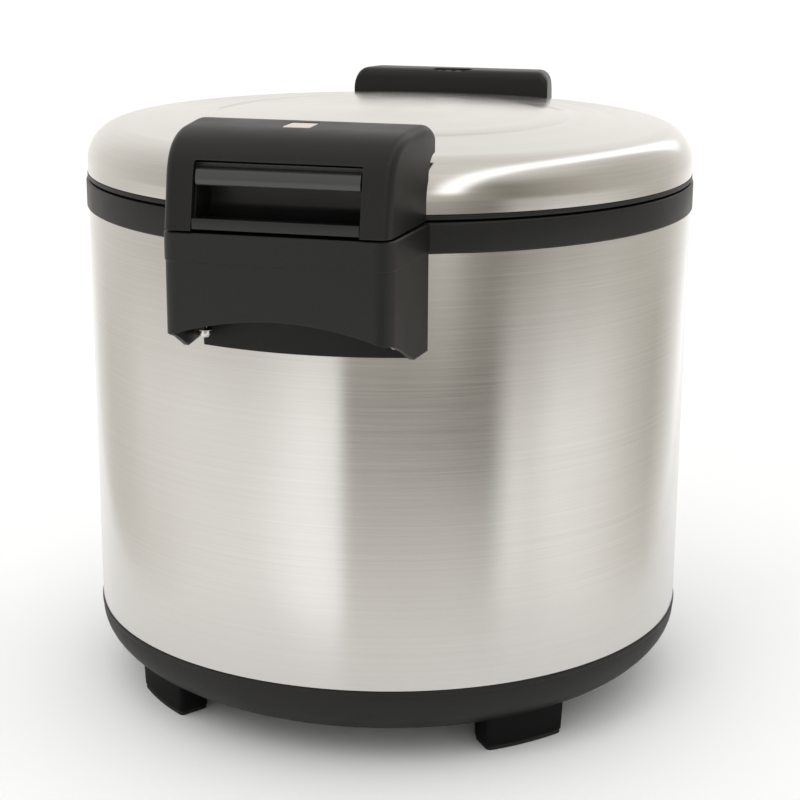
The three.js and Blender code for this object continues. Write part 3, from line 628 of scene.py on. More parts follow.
def build_base():
    lip = 0.6
    top = BASE_TOP - 0.2
    opening = 133
    outside = rounded(
        [
            (DRUM_RADIUS - 2.8, top), (DRUM_RADIUS + lip, top, 0.8),
            (DRUM_RADIUS + lip, top - 2.6, 0.8), (DRUM_RADIUS + 0.1, top - 3.4),
        ],
        closed=False,
    )
    inside = base_face(-WALL)[::-1]
    profile = [*outside, *base_face(0), (opening, BASE_FLOOR), (opening, BASE_FLOOR + WALL), *inside]
    base = lathe("base_bowl", profile, 192)
    finish_piece(base, "body", BASE_BLACK, "base_ring", slot="black_plastic")


def sector(inner, outer, centre, half_angle, corner, steps=10):
    """Plan of a foot: part of a ring, with rounded corners."""
    turns = [radians(centre + half_angle * (2 * i / steps - 1)) for i in range(steps + 1)]
    points = []
    for radius, order in ((outer, turns), (inner, turns[::-1])):
        arc = [(radius * cos(t), radius * sin(t)) for t in order]
        points += [(*arc[0], corner), *arc[1:-1], (*arc[-1], corner)]
    return rounded(points, 3)


FOOT_PLACES = {"front_right": -46, "front_left": -134, "rear_left": 134, "rear_right": 46}
FOOT_INNER, FOOT_OUTER, FOOT_HALF_ANGLE = 150, 170.5, 9.3
FOOT_CORNER = 2.6
SOLE_TOP = 2.8


def build_feet():
    """Feet that widen upwards and end on the base, each with a rubber sole."""
    for place, angle in FOOT_PLACES.items():
        rings = []
        for height, grow in ((2.6, -0.4), (3.4, 0), (10, 0.3), (30, 1.2)):
            half_angle = FOOT_HALF_ANGLE + grow * 0.2
            plan = sector(FOOT_INNER - grow, FOOT_OUTER + grow, angle, half_angle, FOOT_CORNER)
            rings.append([(x, y, height) for x, y in plan])
        foot = loft(f"foot_{place}_shell", rings)
        cut(foot, lathe("bowl", [(0, 40), *base_face(-1), (0, BASE_FLOOR + 1)], 96))
        # The feet get the darkened plastic, which is painted shade.
        finish_piece(foot, "body", FOOT_PAINTED_SHADE_BLACK, f"foot_{place}", slot="black_plastic", edge=0.4)
        plan = sector(FOOT_INNER + 0.4, FOOT_OUTER - 0.4, angle, FOOT_HALF_ANGLE - 0.2, FOOT_CORNER)
        sole = prism_z(f"foot_{place}_sole", plan, 0, SOLE_TOP)
        finish_piece(sole, "body", SOLE, f"foot_pad_{place}", slot="rubber", edge=0.6)


def build_drum():
    inner = DRUM_RADIUS - SHEET
    profile = rounded(
        [(inner, BASE_TOP), (DRUM_RADIUS, BASE_TOP, 0.3), (DRUM_RADIUS, DRUM_TOP, 0.3), (inner, DRUM_TOP)]
    )
    drum = lathe("drum_wrapper", profile, 256)
    finish_piece(drum, "body", DRUM_STEEL, "body_shell", slot="brushed_steel")


def build_top_ring():
    """Black ring on the drum's edge, with a skirt inside the drum and a ledge round the chamber."""
    outer = high("top_ring").x
    skirt_outer = DRUM_RADIUS - SHEET - 0.4
    skirt_inner = 184
    skirt_bottom = 302
    ledge, ledge_bottom, ledge_top = 171, 318.5, 321.8
    corners = [
        (outer, DRUM_TOP + 0.2, 0.8), (outer, RING_TOP, 1.6), (178, RING_TOP, 0.6),
        (176, ledge_top, 0.6), (ledge, ledge_top), (ledge, ledge_bottom),
        (skirt_inner, ledge_bottom), (skirt_inner, skirt_bottom), (skirt_outer, skirt_bottom),
        (skirt_outer, DRUM_TOP + 0.2),
    ]
    ring = lathe("rim_ring", rounded(corners, 4), 192)
    finish_piece(ring, "body", BLACK, "top_ring", slot="black_plastic")


def build_liner():
    """Steel chamber that the pot hangs in, open round the hot plate."""
    radius, opening = 169.2, 122
    floor_bottom = 88
    floor_top = floor_bottom + SHEET
    lip, lip_bottom, lip_top = 180, 317, 318.1
    corners = [
        (opening, floor_bottom), (radius, floor_bottom, 4), (radius, lip_bottom, 1),
        (lip, lip_bottom), (lip, lip_top),
        (radius - SHEET, lip_top, 2), (radius - SHEET, floor_top, 3), (opening, floor_top),
    ]
    liner = lathe("chamber_liner", rounded(corners, 4), 128)
    finish_piece(liner, "body", SHEET_STEEL, "inner_liner", slot="sheet_steel")


def build_hot_plate():
    top = high("hot_plate").z
    hole = 24
    corners = [(hole, 95), (96, 95), (96, 92, 1), (118, 92, 2), (118, top, 3), (hole, top, 1.5)]
    plate = lathe("hot_plate_casting", rounded(corners, 4), 128)
    finish_piece(plate, "body", PLATE_METAL, "hot_plate", slot="cast_aluminium")


def build_sensor_cup():
    """Cup that presses on the pot, on its stem."""
    top = high("thermostat").z
    stem_bottom = 58
    corners = [
        (0, stem_bottom), (4, stem_bottom, 0.6), (4, 84), (12, 84, 0.8), (12, 88, 1), (19, 90, 1),
        (19, top, 2.5), (0, top),
    ]
    cup = lathe("sensor_cup", rounded(corners, closed=False), 64)
    finish_piece(cup, "sensor", CASTING, "thermostat", slot="cast_aluminium")


def build_pot():
    radius, wall = 163, 2
    outer_corner, inner_corner = 22, 20
    bottom, rim, rim_top = low("cooking_pot").z, 322.6, high("cooking_pot").z
    rim_radius = high("cooking_pot").x
    corners = [
        (0, bottom), (radius, bottom, outer_corner), (radius, rim, 0.8), (rim_radius, rim, 0.7),
        (rim_radius, rim_top, 0.7), (radius - wall, rim_top, 1.2),
        (radius - wall, bottom + wall, inner_corner), (0, bottom + wall),
    ]
    pot = lathe("pot", rounded(corners, 8, closed=False), 160)
    finish_piece(pot, "pot", POT_METAL, "cooking_pot", slot="pot_aluminium")


# ---- lid


def build_lid_shell():
    edge = 0.35
    profile = [
        *lid_face(-SHEET)[::-1],
        (DRUM_RADIUS - SHEET, LID_STEEL_BOTTOM), (DRUM_RADIUS - edge, LID_STEEL_BOTTOM - 0.1),
        (DRUM_RADIUS, LID_STEEL_BOTTOM + edge),
        *lid_face(0, 32),
    ]
    shell = lathe("lid_dome", profile, 256)
    half_slot, slot_bottom, slot_top = 61, 332.6, 336
    cut(shell, block("arm_slot", (-half_slot, 150, slot_bottom), (half_slot, 200, slot_top)))
    finish_piece(shell, "lid", LID_STEEL, "lid_shell", slot="brushed_steel")


def build_lid_frame():
    """Plastic tray inside the lid. Its edge is the black rim under the steel."""
    outer = high("lid_frame").x
    inner = DRUM_RADIUS - SHEET - 0.4
    corners = [
        (0, 338), (150, 338, 4), (162, 331, 4), (172, 329.6, 2), (174, LID_BOTTOM, 0.8),
        (outer, LID_BOTTOM, 1.0), (outer, LID_STEEL_BOTTOM - 0.2, 0.6),
        (inner, LID_STEEL_BOTTOM - 0.2), (inner, 332.4), (166, 332.6), (152, 341), (0, 341),
    ]
    rim = lathe("lid_rim", rounded(corners, 4, closed=False), 192)
    finish_piece(rim, "lid", BLACK, "lid_frame", slot="black_plastic")


def build_inner_plate():
    corners = [
        (6, 331), (150, 328.4, 8), (159, 325.2, 3), (161, 325.2, 0.5), (161, 326.6, 0.5),
        (160, 326.6), (151, 329.8, 6), (6, 332.4),
    ]
    plate = lathe("inner_lid_plate", rounded(corners, 4), 128)
    hole_radius, holes_out = 4, 120
    for angle in (45, 90, 135):
        x, y = holes_out * cos(radians(angle)), holes_out * sin(radians(angle))
        cut(plate, put(cylinder("hole", hole_radius, 320, 340, 24), (x, y, 0)))
    finish_piece(plate, "lid", SHEET_STEEL, "lid_inner_plate", slot="sheet_steel")


def build_seal():
    corners = [
        (162, 324.6, 1), (166, 324.4, 2), (171, 324.6, 0.8), (171.6, 327.5, 1), (169, 328.6),
        (164, 328.6), (161.6, 326, 1),
    ]
    seal = lathe("lid_seal", rounded(corners, 4), 128)
    finish_piece(seal, "lid", SEAL, "lid_gasket", slot="silicone")


def build_plate_knob():
    """Fluted knob that holds the inner plate."""
    corners = [
        (0, 321.5), (12, 321.5, 1.5), (15, 323, 1.5), (15, 329, 1), (14, 330.4), (4.8, 330.4),
        (4.8, 337.6), (0, 337.6),
    ]
    knob = lathe("plate_knob", rounded(corners, 4, closed=False), 64)
    flutes, flutes_out, flute_radius = 12, 16, 1.6
    for x, y in circle((0, 0), flutes_out, flutes):
        cut(knob, put(cylinder("flute", flute_radius, 320, 331, 16), (x, y, 0)))
    finish_piece(knob, "lid", BLACK, "inner_plate_knob", slot="black_plastic", edge=0.3)


# ---- the boxes on the lid


def bezier(knots, steps):
    """Points of the Bezier curve with these knots, ends included."""
    made = []
    for i in range(steps + 1):
        points = [Vector(knot) for knot in knots]
        while len(points) > 1:
            points = [near.lerp(far, i / steps) for near, far in zip(points, points[1:])]
        made.append(tuple(points[0]))
    return made


def upper_outline(box, shrink):
    """Side view of an upper box, anticlockwise in (distance, height), carried on below its lower edge.

    The box's crown is (length, drop): how the top bends down to the inner face.
    """
    bottom = 306
    top = box["top"] - 0.1 - shrink
    inner = box["inner"] + shrink
    length, drop = box["crown"]
    front = FACE - shrink
    shoulder = [
        (front - 5.5, 353.6), (front - 8.2, 367.5 - shrink / 2), (front - 18, top - 1.4),
        (203, top - 0.8),
    ]
    face = bezier(shoulder, 16)
    back = bezier([(inner + length, top), (inner + length * 0.2, top), (inner, top - drop)], CROWN_STEPS)
    return [(inner, bottom), (front, bottom), (front, LID_BOTTOM), *face, *back]


def upper_form(name, box, edge, shrink=0, steps=7):
    """An upper box, tapering in plan, with its front and top edges rounded by edge."""
    outline = upper_outline(box, shrink)
    first_of_crown = len(outline) - CROWN_STEPS - 1
    rings = []
    for side in (-1, 1):
        for i in range(steps + 1):
            angle = pi / 2 * (i if side < 0 else steps - i) / steps
            back = edge * (1 - cos(angle))
            drop = edge * (1 - sin(angle))
            ring = inset(outline, drop)
            ring[0] = outline[0]
            for k in range(first_of_crown, len(outline)):
                ring[k] = (outline[k][0], outline[k][1] - drop)
            rings.append([(side * (half_width(box, d) - shrink - back), -d, z) for d, z in ring])
    return loft(name, rings)


def upper_shell(name, box):
    """Hollow upper box, cut back from the lid and level along its lower edge."""
    shell = upper_form(name, box, box["edge"])
    hollow = upper_form("hollow", box, box["edge"] - WALL, shrink=WALL)
    below = block("below", (-100, -300, 280), (100, -100, LID_BOTTOM))
    return cut(shell, hollow, below, lid_bulk("bulk", 0.4))


def build_latch_box():
    """The latch box, closed behind by an underside that overhangs the lid, with its window and label."""
    top = LATCH_BOX["top"]
    back = 175
    clear_of_lid = 0.4
    shell = upper_shell("latch_box", LATCH_BOX)
    corners = []
    for side, distance in ((-1, back + WALL), (1, back + WALL), (1, 164.5), (-1, 164.5)):
        corners.append((side * (half_width(LATCH_BOX, distance) - 1.5), -distance))
    underside = prism_z("underside", corners, 345, 364.8)
    join(shell, cut(underside, lid_bulk("bulk", clear_of_lid)))
    half, window_top = 45.7, 362.9
    corners = [(-half, 300), (half, 300), (half, window_top, 1.2), (-half, window_top, 1.2)]
    window = prism_y("window", rounded(corners, 3), -260, -222)
    recess = plan_prism("label_recess", "label_plate", 0.35, 1.5, top - 1.2, top + 3)
    overhang = prism_x("overhang", rounded([(140, 300), (back, 300), (back, 362, 12), (140, 362)], 8), 80)
    cut(shell, window, recess, overhang)
    finish_piece(shell, "lid", BLACK, "latch_housing", slot="black_plastic", edge=0.8, angle=38)

    label = plan_prism("label", "label_plate", 0, 1.5, top - 1.3, top - 0.55)
    finish_piece(label, "lid", LABEL, "label_plate", slot="label", edge=0.2)


def build_tray():
    """Tray behind the latch bar, with closed ends."""
    front, back = 242, 208.5
    top = high("finger_tray").z
    corners = [
        (front, 327.4, 0.8), (front, 333.4, 1.2), (238.8, 333.4, 1), (236.5, 331.2),
        (back + 2.5, 331.2, 9), (back + 2.5, top), (back, top), (back, 328.6, 10), (234, 328.6),
        (235.5, 327.4),
    ]
    half_length = 45.2
    tray = prism_x("finger_tray_moulding", rounded(corners, 6), half_length)
    end = [(237.6, 329), (233, 349.4), (back, 349.4), (back, 335), (214, 328.6)]
    for side in (-1, 1):
        join(tray, prism_x("end", end, 0.5, centre_x=side * (half_length + 0.3)))
    finish_piece(tray, "lid", TRAY_BLACK, "finger_tray", slot="dark_plastic", edge=0.4)


def build_latch():
    """Bar that is pulled, the beam behind it, and a hooked arm at either end."""
    distance, height = LATCH_AXIS
    grip = [
        (236.4, 349.9, 1.6), (237, 353.9, 5), (235, 358.5, 2.2), (224, 359.2), (224, 354.5),
        (229, 349.9, 1),
    ]
    lever = prism_x("latch_bar", rounded(grip, 5), 44.6)
    join(lever, prism_x("beam", [(228, 354), (228, 361), (224, 361), (224, 354)], 49))
    arm = [
        (228, 352.5, 2), (228, 361, 2), (222, 361, 2), (210, 347, 4), (210.5, 317.5, 1),
        (222, 317.5, 1.4), (221, 321.8, 0.6), (217, 321.8, 0.8), (217.4, 333, 3), (222.5, 343, 4),
    ]
    for side in (-1, 1):
        x = side * LATCH_ARM_X
        join(lever, prism_x("arm", rounded(arm, 4), 1.5, centre_x=x))
        cut(lever, put(cylinder("bore", 2.75, -4, 4), (x, -distance, height), LAID_ALONG_X))
    # The bar gets the lightened plastic, which is painted light.
    finish_piece(lever, "latch", BAR_PAINTED_LIGHT_BLACK, "latch_lever", slot="black_plastic", edge=0.5)


def build_hinge_box():
    """The hinge box, with room for the pin's barrel, and the slotted steam vent in its top."""
    shell = upper_shell("hinge_box", HINGE_BOX)
    distance, height = HINGE_AXIS
    barrel = cylinder("barrel", BARREL_RADIUS, -BARREL_HALF_LENGTH, BARREL_HALF_LENGTH, 48)
    cut(shell, put(barrel, (0, -distance, height), LAID_ALONG_X))
    turn_to_rear(shell)
    cut(shell, plan_prism("vent_hole", "steam_vent_cap", 0.3, VENT_CORNER + 0.3, 360, 390, 8))
    finish_piece(shell, "lid", BLACK, "hinge_cover", slot="black_plastic", edge=0.8, angle=38)

    top = HINGE_BOX["top"]
    cap = plan_prism("steam_vent", "steam_vent_cap", 0, VENT_CORNER, top - 6, top - 1.4, 8)
    half_slot, slot_near, slot_far = 1.4, 179, 187
    for x in (-7, 0, 7):
        slot = rectangle((x - half_slot, slot_near), (x + half_slot, slot_far), 1.3, 4)
        cut(cap, prism_z("slot", slot, 360, 390))
    finish_piece(cap, "lid", DARK, "steam_vent_cap", slot="dark_plastic", edge=0.4)


# ---- carrying handles


# The handles and plates stop just short of the drum.
CLEAR_OF_DRUM = DRUM_RADIUS + 1.6


def handle_plan(handle, shrink):
    """Plan of a handle, shrunk on the three sides that show."""
    inner, corner = 150, 10
    face = FACE - shrink
    radius = max(1, corner - shrink)
    near = half_width(handle, inner) - shrink
    far = half_width(handle, face) - shrink
    return rounded([(near, -inner), (-near, -inner), (-far, -face, radius), (far, -face, radius)], 8)


def arched_edge(half):
    """Cutter for the lower edge of a handle's face, a circular arch over its whole width."""
    top, rise = 280.3, 10.1
    radius = (half * half + rise * rise) / (2 * rise)
    line = []
    for i in range(-16, 17):
        x = half * i / 16
        line.append((x, top - radius + sqrt(radius * radius - x * x)))
    return prism_y("arch", [*line, (half, 230), (-half, 230)], -FACE - 10, -FACE + WALL + 3)


def handle_shell(name, handle, top):
    """Walls on three sides and a shelf, open below. Its upper third stands half a millimetre proud."""
    step, proud = 310, 0.5
    stations = [(240, proud), (step - 0.3, proud), (step + 0.3, 0), (top - 0.7, 0), (top, 0.7)]
    shell = loft(name, [[(x, y, z) for x, y in handle_plan(handle, shrink)] for z, shrink in stations])
    hollow = prism_z("hollow", handle_plan(handle, WALL), 230, handle["shelf"])
    underside = [
        (140, 220), (250, 220), (250, 270.4), (238, 270.2, 3), (222, 264.5, 6), (203, 255.3, 2),
        (140, 254.6),
    ]
    slope = prism_x("slope", rounded(underside, 4), 90)
    arch = arched_edge(half_width(handle, FACE) - 4)
    cut(shell, hollow, slope, arch, cylinder("drum", CLEAR_OF_DRUM, 200, 350, 128))
    boss_foot = SCREW_HEAD + 2.9
    for side in (-1, 1):
        x = side * SCREW_X
        wall = side * (half_width(handle, SCREW_DISTANCE) - 1.5)
        boss = put(cylinder("boss", 5, boss_foot, 320), (x, -SCREW_DISTANCE, 0))
        near, far = sorted((x, wall))
        rib = block("rib", (near, -SCREW_DISTANCE - 1.5, boss_foot + 3), (far, -SCREW_DISTANCE + 1.5, 320))
        join(shell, boss, rib)
    return shell


def build_front_handle():
    handle = handle_shell("front_handle_shell", FRONT_HANDLE, high("front_handle").z)
    for side in (-1, 1):
        x = side * LATCH_ARM_X
        cut(handle, block("hook_slot", (x - 2.5, -219.5, 318), (x + 2.5, -203, 330)))
    finish_piece(handle, "body", BLACK, "front_handle", slot="black_plastic", edge=0.7, angle=38)


def build_rear_handle():
    """Like the front one, but hollow above its shelf, for the hinge."""
    handle = handle_shell("rear_handle_shell", REAR_HANDLE, high("rear_handle").z)
    shelf_top = REAR_HANDLE["shelf"] + WALL
    pocket = prism_z("pocket", handle_plan(REAR_HANDLE, WALL), shelf_top, 340)
    room = block("barrel_room", (-100, -260, shelf_top), (100, -228, 340))
    turn_to_rear(cut(handle, pocket, room))
    finish_piece(handle, "body", BLACK, "rear_handle", slot="black_plastic", edge=0.7, angle=38)


def back_plate(name):
    """Plate round the drum behind the fingers, with a tab under each screw."""
    half_span = 61
    bottom, top = 251.5, 312
    outer = CLEAR_OF_DRUM + 2
    profile = [(CLEAR_OF_DRUM, bottom), (outer, bottom), (outer, top), (CLEAR_OF_DRUM, top)]
    sheet = lathe(name, profile, 256)
    outline = rounded([(-half_span, 240), (half_span, 240), (half_span, 311, 6), (-half_span, 311, 6)], 6)
    cut(sheet, prism_y("span", outline, -220, -150), operation="INTERSECT")
    for side in (-1, 1):
        near, far = sorted((side * (half_span - 8), side * (SCREW_X + 4.5)))
        tab = block("tab", (near, -SCREW_DISTANCE - 5, SCREW_HEAD + 0.5), (far, -178, SCREW_HEAD + 2.5))
        hole = put(cylinder("hole", 2.1, 250, 280, 24), (side * SCREW_X, -SCREW_DISTANCE, 0))
        join(sheet, cut(tab, hole, cylinder("drum", CLEAR_OF_DRUM, 200, 350, 256)))
    return sheet


def build_back_plates():
    for place in ("front", "rear"):
        plate = back_plate(f"{place}_finger_plate")
        if place == "rear":
            turn_to_rear(plate)
        finish_piece(plate, "body", DARK, f"{place}_back_plate", slot="dark_plastic", edge=0.4)


def build_handle_screws():
    """Pan heads with a cross recess, heads down, each with its washer."""
    for place in ("front_right", "front_left", "rear_right", "rear_left"):
        node = f"handle_screw_{place}"
        middle = (low(node) + high(node)) / 2
        head = low(node).z + 2.7
        corners = [
            (0, head - 1.7), (2.4, head - 1.5, 1.4), (3.4, head + 0.6, 1.2), (3.5, head + 2.6, 0.3),
            (1.6, head + 2.6), (1.6, head + 16), (0, head + 17),
        ]
        screw = lathe(f"{node}_fine", rounded(corners, 5, closed=False), 48)
        for angle in (20, 110):
            recess = block("recess", (-1.9, -0.45, head - 3), (1.9, 0.45, head + 0.3))
            cut(screw, put(recess, (0, 0, 0), Matrix.Rotation(radians(angle), 4, "Z")))
        near, far = head + 2.65, head + 3.1
        washer = lathe("washer", rounded([(1.7, near), (4.6, near, 0.2), (4.6, far, 0.2), (1.7, far)], 3), 48)
        put(join(screw, washer), (middle.x, middle.y, 0))
        finish_piece(screw, "body", ZINC, node, slot="zinc")


# ---- controls


def bend_to_drum(made, radius, column=1.85):
    """Slices a piece drawn on the plane x = -radius into columns and wraps it round the drum."""
    bm = bmesh.new()
    bm.from_mesh(made.data)
    places = [vertex.co.y for vertex in bm.verts]
    for i in range(floor(min(places) / (column * MM)) + 1, ceil(max(places) / (column * MM))):
        geometry = bm.verts[:] + bm.edges[:] + bm.faces[:]
        bmesh.ops.bisect_plane(bm, geom=geometry, plane_co=(0, i * column * MM, 0), plane_no=(0, 1, 0))
    bm.to_mesh(made.data)
    bm.free()
    for vertex in made.data.vertices:
        x, y, z = vertex.co
        angle = y / (radius * MM)
        vertex.co = (x * cos(angle), -x * sin(angle), z)
    made.data.update()
    return made


def prism_to_side(name, outline, near=-230, far=-150):
    """A solid from an outline in (y, height), between two stations on X."""
    return loft(name, [[(x, y, z) for y, z in outline] for x in (near, far)])


PANEL_FACE = 192.6
PANEL_BACK = DRUM_RADIUS + 0.4
PANEL_RECESS = 0.5
LAMP_SPACING, LAMP_HEIGHT, LAMP_HOLE = 16, 148, 6.3
LEVER_AXIS = (180, 101)


def build_panel():
    """Panel bent round the drum, with a raised rim, two lamp holes and the lever's slot."""
    bottom, top = low("control_panel").z, high("control_panel").z
    half, rim = 37, 2.6
    outline = rectangle((-half, bottom), (half, top), 9, 8)
    face = rectangle((rim - half, bottom + rim), (half - rim, top - rim), 7, 8)
    plate = prism_to_side("control_panel_plate", outline, -PANEL_BACK, -PANEL_FACE)
    half_slot, slot_bottom, slot_top = 6, 89, 106.5
    cuts = [
        prism_to_side("lever_slot", rectangle((-half_slot, slot_bottom), (half_slot, slot_top), 1.5, 4)),
        prism_to_side("face_recess", face, -210, -PANEL_FACE + PANEL_RECESS),
    ]
    for side in (-1, 1):
        hole = circle((side * LAMP_SPACING, LAMP_HEIGHT), LAMP_HOLE, 40)
        cuts.append(prism_to_side("lamp_hole", hole))
    cut(plate, *cuts)
    bend_to_drum(plate, PANEL_BACK)
    finish_piece(plate, "body", BLACK, "control_panel", slot="black_plastic", edge=0.35)


def build_panel_marks():
    """Generic raised marks: a dot under each lamp, and an arrowhead above and below the lever."""
    face = PANEL_FACE - PANEL_RECESS
    marks = {
        "lamp_mark_left": circle((-LAMP_SPACING, LAMP_HEIGHT - 13), 1.5, 20),
        "lamp_mark_right": circle((LAMP_SPACING, LAMP_HEIGHT - 13), 1.5, 20),
        "warm_mark": rounded([(-4, 114.5, 0.5), (4, 114.5, 0.5), (0, 119.5, 0.5)], 3),
        "cook_mark": rounded([(0, 79.5, 0.5), (4, 84.5, 0.5), (-4, 84.5, 0.5)], 3),
    }
    for name, outline in marks.items():
        mark = prism_to_side(name, outline, -face + 0.3, -face - 0.35)
        bend_to_drum(mark, PANEL_BACK)
        finish_piece(mark, "body", LABEL, slot="label")


def build_lever():
    """Ridged paddle, its arm and hub."""
    distance, height = LEVER_AXIS
    front, back = -196.4, -194.5
    corners = [
        (front, height - 8, 1), (-199.2, height, 14), (front, height + 8, 1), (back, height + 5.5),
        (back, height - 5.5),
    ]
    paddle = prism_y("cook_lever_paddle", rounded(corners, 5), -13, 13)
    for i in range(-2, 3):
        z = height + i * 2.4
        bed = -197.35 + abs(i) * 0.25
        cut(paddle, block("groove", (-201, -10.5, z - 0.4), (bed, 10.5, z + 0.4)))
    arm = block("arm", (-195.5, -4, height - 3), (-distance, 4, height + 3))
    journal, journal_end, barrel, barrel_end = 2, 10.5, 4.5, 7
    half = [(0, journal_end), (journal, journal_end), (journal, barrel_end), (barrel, barrel_end)]
    profile = [*((radius, -end) for radius, end in half), *half[::-1]]
    hub = put(lathe("hub", profile, 40), (-distance, 0, height), LAID_ALONG_Y)
    join(paddle, arm, hub)
    finish_piece(paddle, "lever", BLACK, "cook_lever", slot="black_plastic", edge=0.5)


def build_lamps():
    """Domed lenses with a flange behind the panel."""
    corners = [(0, -7), (7.5, -7), (7.5, -5), (6, -5), (6, 1.2, 1.2), (4, 3.2, 2.5), (0, 3.7)]
    towards_side = Matrix.Rotation(-pi / 2, 4, "Y")
    profile = rounded(corners, 5, closed=False)
    lamps = {"cook_lamp": (LAMP_SPACING, RED, "red_lens"), "warm_lamp": (-LAMP_SPACING, AMBER, "amber_lens")}
    for node, (y, material, slot) in lamps.items():
        made = put(lathe(f"{node}_lens", profile, 48), (-PANEL_FACE, y, LAMP_HEIGHT), towards_side)
        finish_piece(made, "body", material, node, slot=slot)


def build_inlet_plate():
    """Plate round the mains inlet, curved behind to sit on the drum."""
    bottom, top = low("rear_plate").z, high("rear_plate").z
    outline = rectangle((-30, bottom), (30, top), 6, 8)
    plate = prism_y("inlet_plate", outline, 178, high("rear_plate").y)
    drum = cylinder("drum", DRUM_RADIUS + 0.3, 0, 200, 256)
    half_hole, hole_bottom, hole_top = 14.4, 76.6, 97.4
    cut(plate, drum, block("inlet_hole", (-half_hole, 150, hole_bottom), (half_hole, 210, hole_top)))
    finish_piece(plate, "body", BLACK, "rear_plate", slot="black_plastic", edge=0.8)


# ---- frame pieces that keep their shape


def dress(node, material, edge=0):
    """Gives a frame piece its material, and rounds its edges by a modifier."""
    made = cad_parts[node]
    made.data.materials.clear()
    made.data.materials.append(material)
    if edge:
        round_edges(made, edge, 30)


def dress_frame():
    dress("bottom_cover", SHEET_STEEL)
    dress("warming_heater", FOIL)
    dress("insulation_sleeve", FIBRE)
    dress("heating_element", CASTING)
    dress("heater_stand", SHEET_STEEL, 0.2)
    dress("thermostat_bracket", SHEET_STEEL, 0.3)
    dress("thermostat_spring", ZINC)
    dress("hinge_bracket", BRACKET_BLACK, 0.3)
    dress("hinge_pin", ZINC, 0.3)
    dress("hinge_arm", BRACKET_BLACK, 0.3)
    dress("switch_block", DARK, 0.4)
    dress("power_inlet", DARK, 0.4)
    dress("inlet_terminals", BRASS, 0.2)
    for side in ("left", "right"):
        dress(f"hinge_screw_{side}", ZINC, 0.4)
        dress(f"latch_pin_{side}", ZINC, 0.3)
        dress(f"latch_spring_{side}", ZINC)


# ---- studio


CAMERA_AZIMUTH = 14.3
CAMERA_DISTANCE = 1194.8
CAMERA_HEIGHT = 498.7
CAMERA_PITCH, CAMERA_YAW, CAMERA_ROLL = radians(15.145), radians(0.339), radians(0.329)
CAMERA_LENS_MM = 84.63


def build_camera():
    forward = Vector(
        (sin(CAMERA_YAW) * cos(CAMERA_PITCH), cos(CAMERA_YAW) * cos(CAMERA_PITCH), -sin(CAMERA_PITCH))
    )
    right = Vector((cos(CAMERA_YAW), -sin(CAMERA_YAW), 0))
    up = right.cross(forward)
    rolled_right = right * cos(CAMERA_ROLL) + up * sin(CAMERA_ROLL)
    rolled_up = up * cos(CAMERA_ROLL) - right * sin(CAMERA_ROLL)
    turn = Matrix((rolled_right, rolled_up, -forward)).transposed().to_4x4()
    place = Matrix.Translation((0, -CAMERA_DISTANCE * MM, CAMERA_HEIGHT * MM)) @ turn
    camera_data = bpy.data.cameras.new("camera")
    camera_data.lens = CAMERA_LENS_MM
    camera_data.sensor_width = 36
    camera_data.clip_start = 0.01
    camera = bpy.data.objects.new("camera", camera_data)
    camera.matrix_world = Matrix.Rotation(radians(CAMERA_AZIMUTH), 4, "Z") @ place
    bpy.context.scene.collection.objects.link(camera)
    bpy.context.scene.camera = camera


def build_floor():
    """A pale table top, a little wider than the camera sees, so that the drum mirrors the room beyond it."""
    near, near_aside, far, far_aside = 340, 280, 14000, 3700
    corners = [(-near_aside, -near), (near_aside, -near), (far_aside, far), (-far_aside, far)]
    made = prism_z("floor", corners, -20, -0.1)
    shader = Shader("pale_floor")
    mottle = shader.noise(shader.position(), 3.0, detail=3)
    shader.feed(Base_Color=shader.mix(mottle, (0.90, 0.90, 0.895), (0.93, 0.93, 0.925)))
    shader.set(Roughness=0.7)
    made.data.materials.append(shader.material)
    made.rotation_euler.z = radians(CAMERA_AZIMUTH)


# Brightness of the studio round the object, by azimuth in degrees from the camera, positive to its right.
# A dark room lies behind the camera, between two bright screens.
STUDIO_RING = [
    (-180, 1.30), (-165, 1.35), (-150, 0.95), (-135, 0.74), (-118, 0.84), (-105, 1.04), (-83, 1.14),
    (-55, 1.17), (-47, 1.20), (-39, 1.34), (-31, 1.46), (-20, 1.42), (-15, 0.15), (38, 0.15),
    (47, 0.98), (55, 1.04), (64, 1.24), (83, 1.14), (93, 0.98), (105, 0.76), (120, 0.54),
    (130, 0.72), (147, 1.20), (162, 1.45), (180, 1.30),
]

# The same well below eye level, where the pale table lightens it.
STUDIO_LOWER_RING = [
    (-180, 1.30), (-150, 0.95), (-135, 0.76), (-118, 0.78), (-105, 0.86), (-83, 1.02), (-55, 1.10),
    (-47, 1.24), (-31, 1.36), (-20, 1.30), (-15, 0.98), (38, 0.96), (47, 1.34), (55, 1.12),
    (73, 1.14), (93, 1.00), (105, 0.90), (120, 0.86), (140, 1.30), (180, 1.30),
]

# The same above eye level.
STUDIO_UPPER_RING = [
    (-180, 0.98), (-150, 0.98), (-135, 0.88), (-105, 0.72), (-60, 0.55), (-30, 0.62), (20, 0.62),
    (30, 0.40), (44, 0.28), (65, 0.46), (86, 0.60), (107, 0.63), (128, 0.73), (147, 0.96),
    (160, 1.06), (180, 0.98),
]
STUDIO_CEILING = 0.86
STRIP_LIGHT = 1.9
EVEN_ROOM = (1.18, 1.18, 1.17)


def studio_colour(level):
    """Screens are nearly neutral, and the darker the surroundings the warmer they are."""
    warmth = max(0.0, min(1.0, 1.3 - level))
    return (level, level * (1 - 0.07 * warmth), level * (1 - 0.20 * warmth))


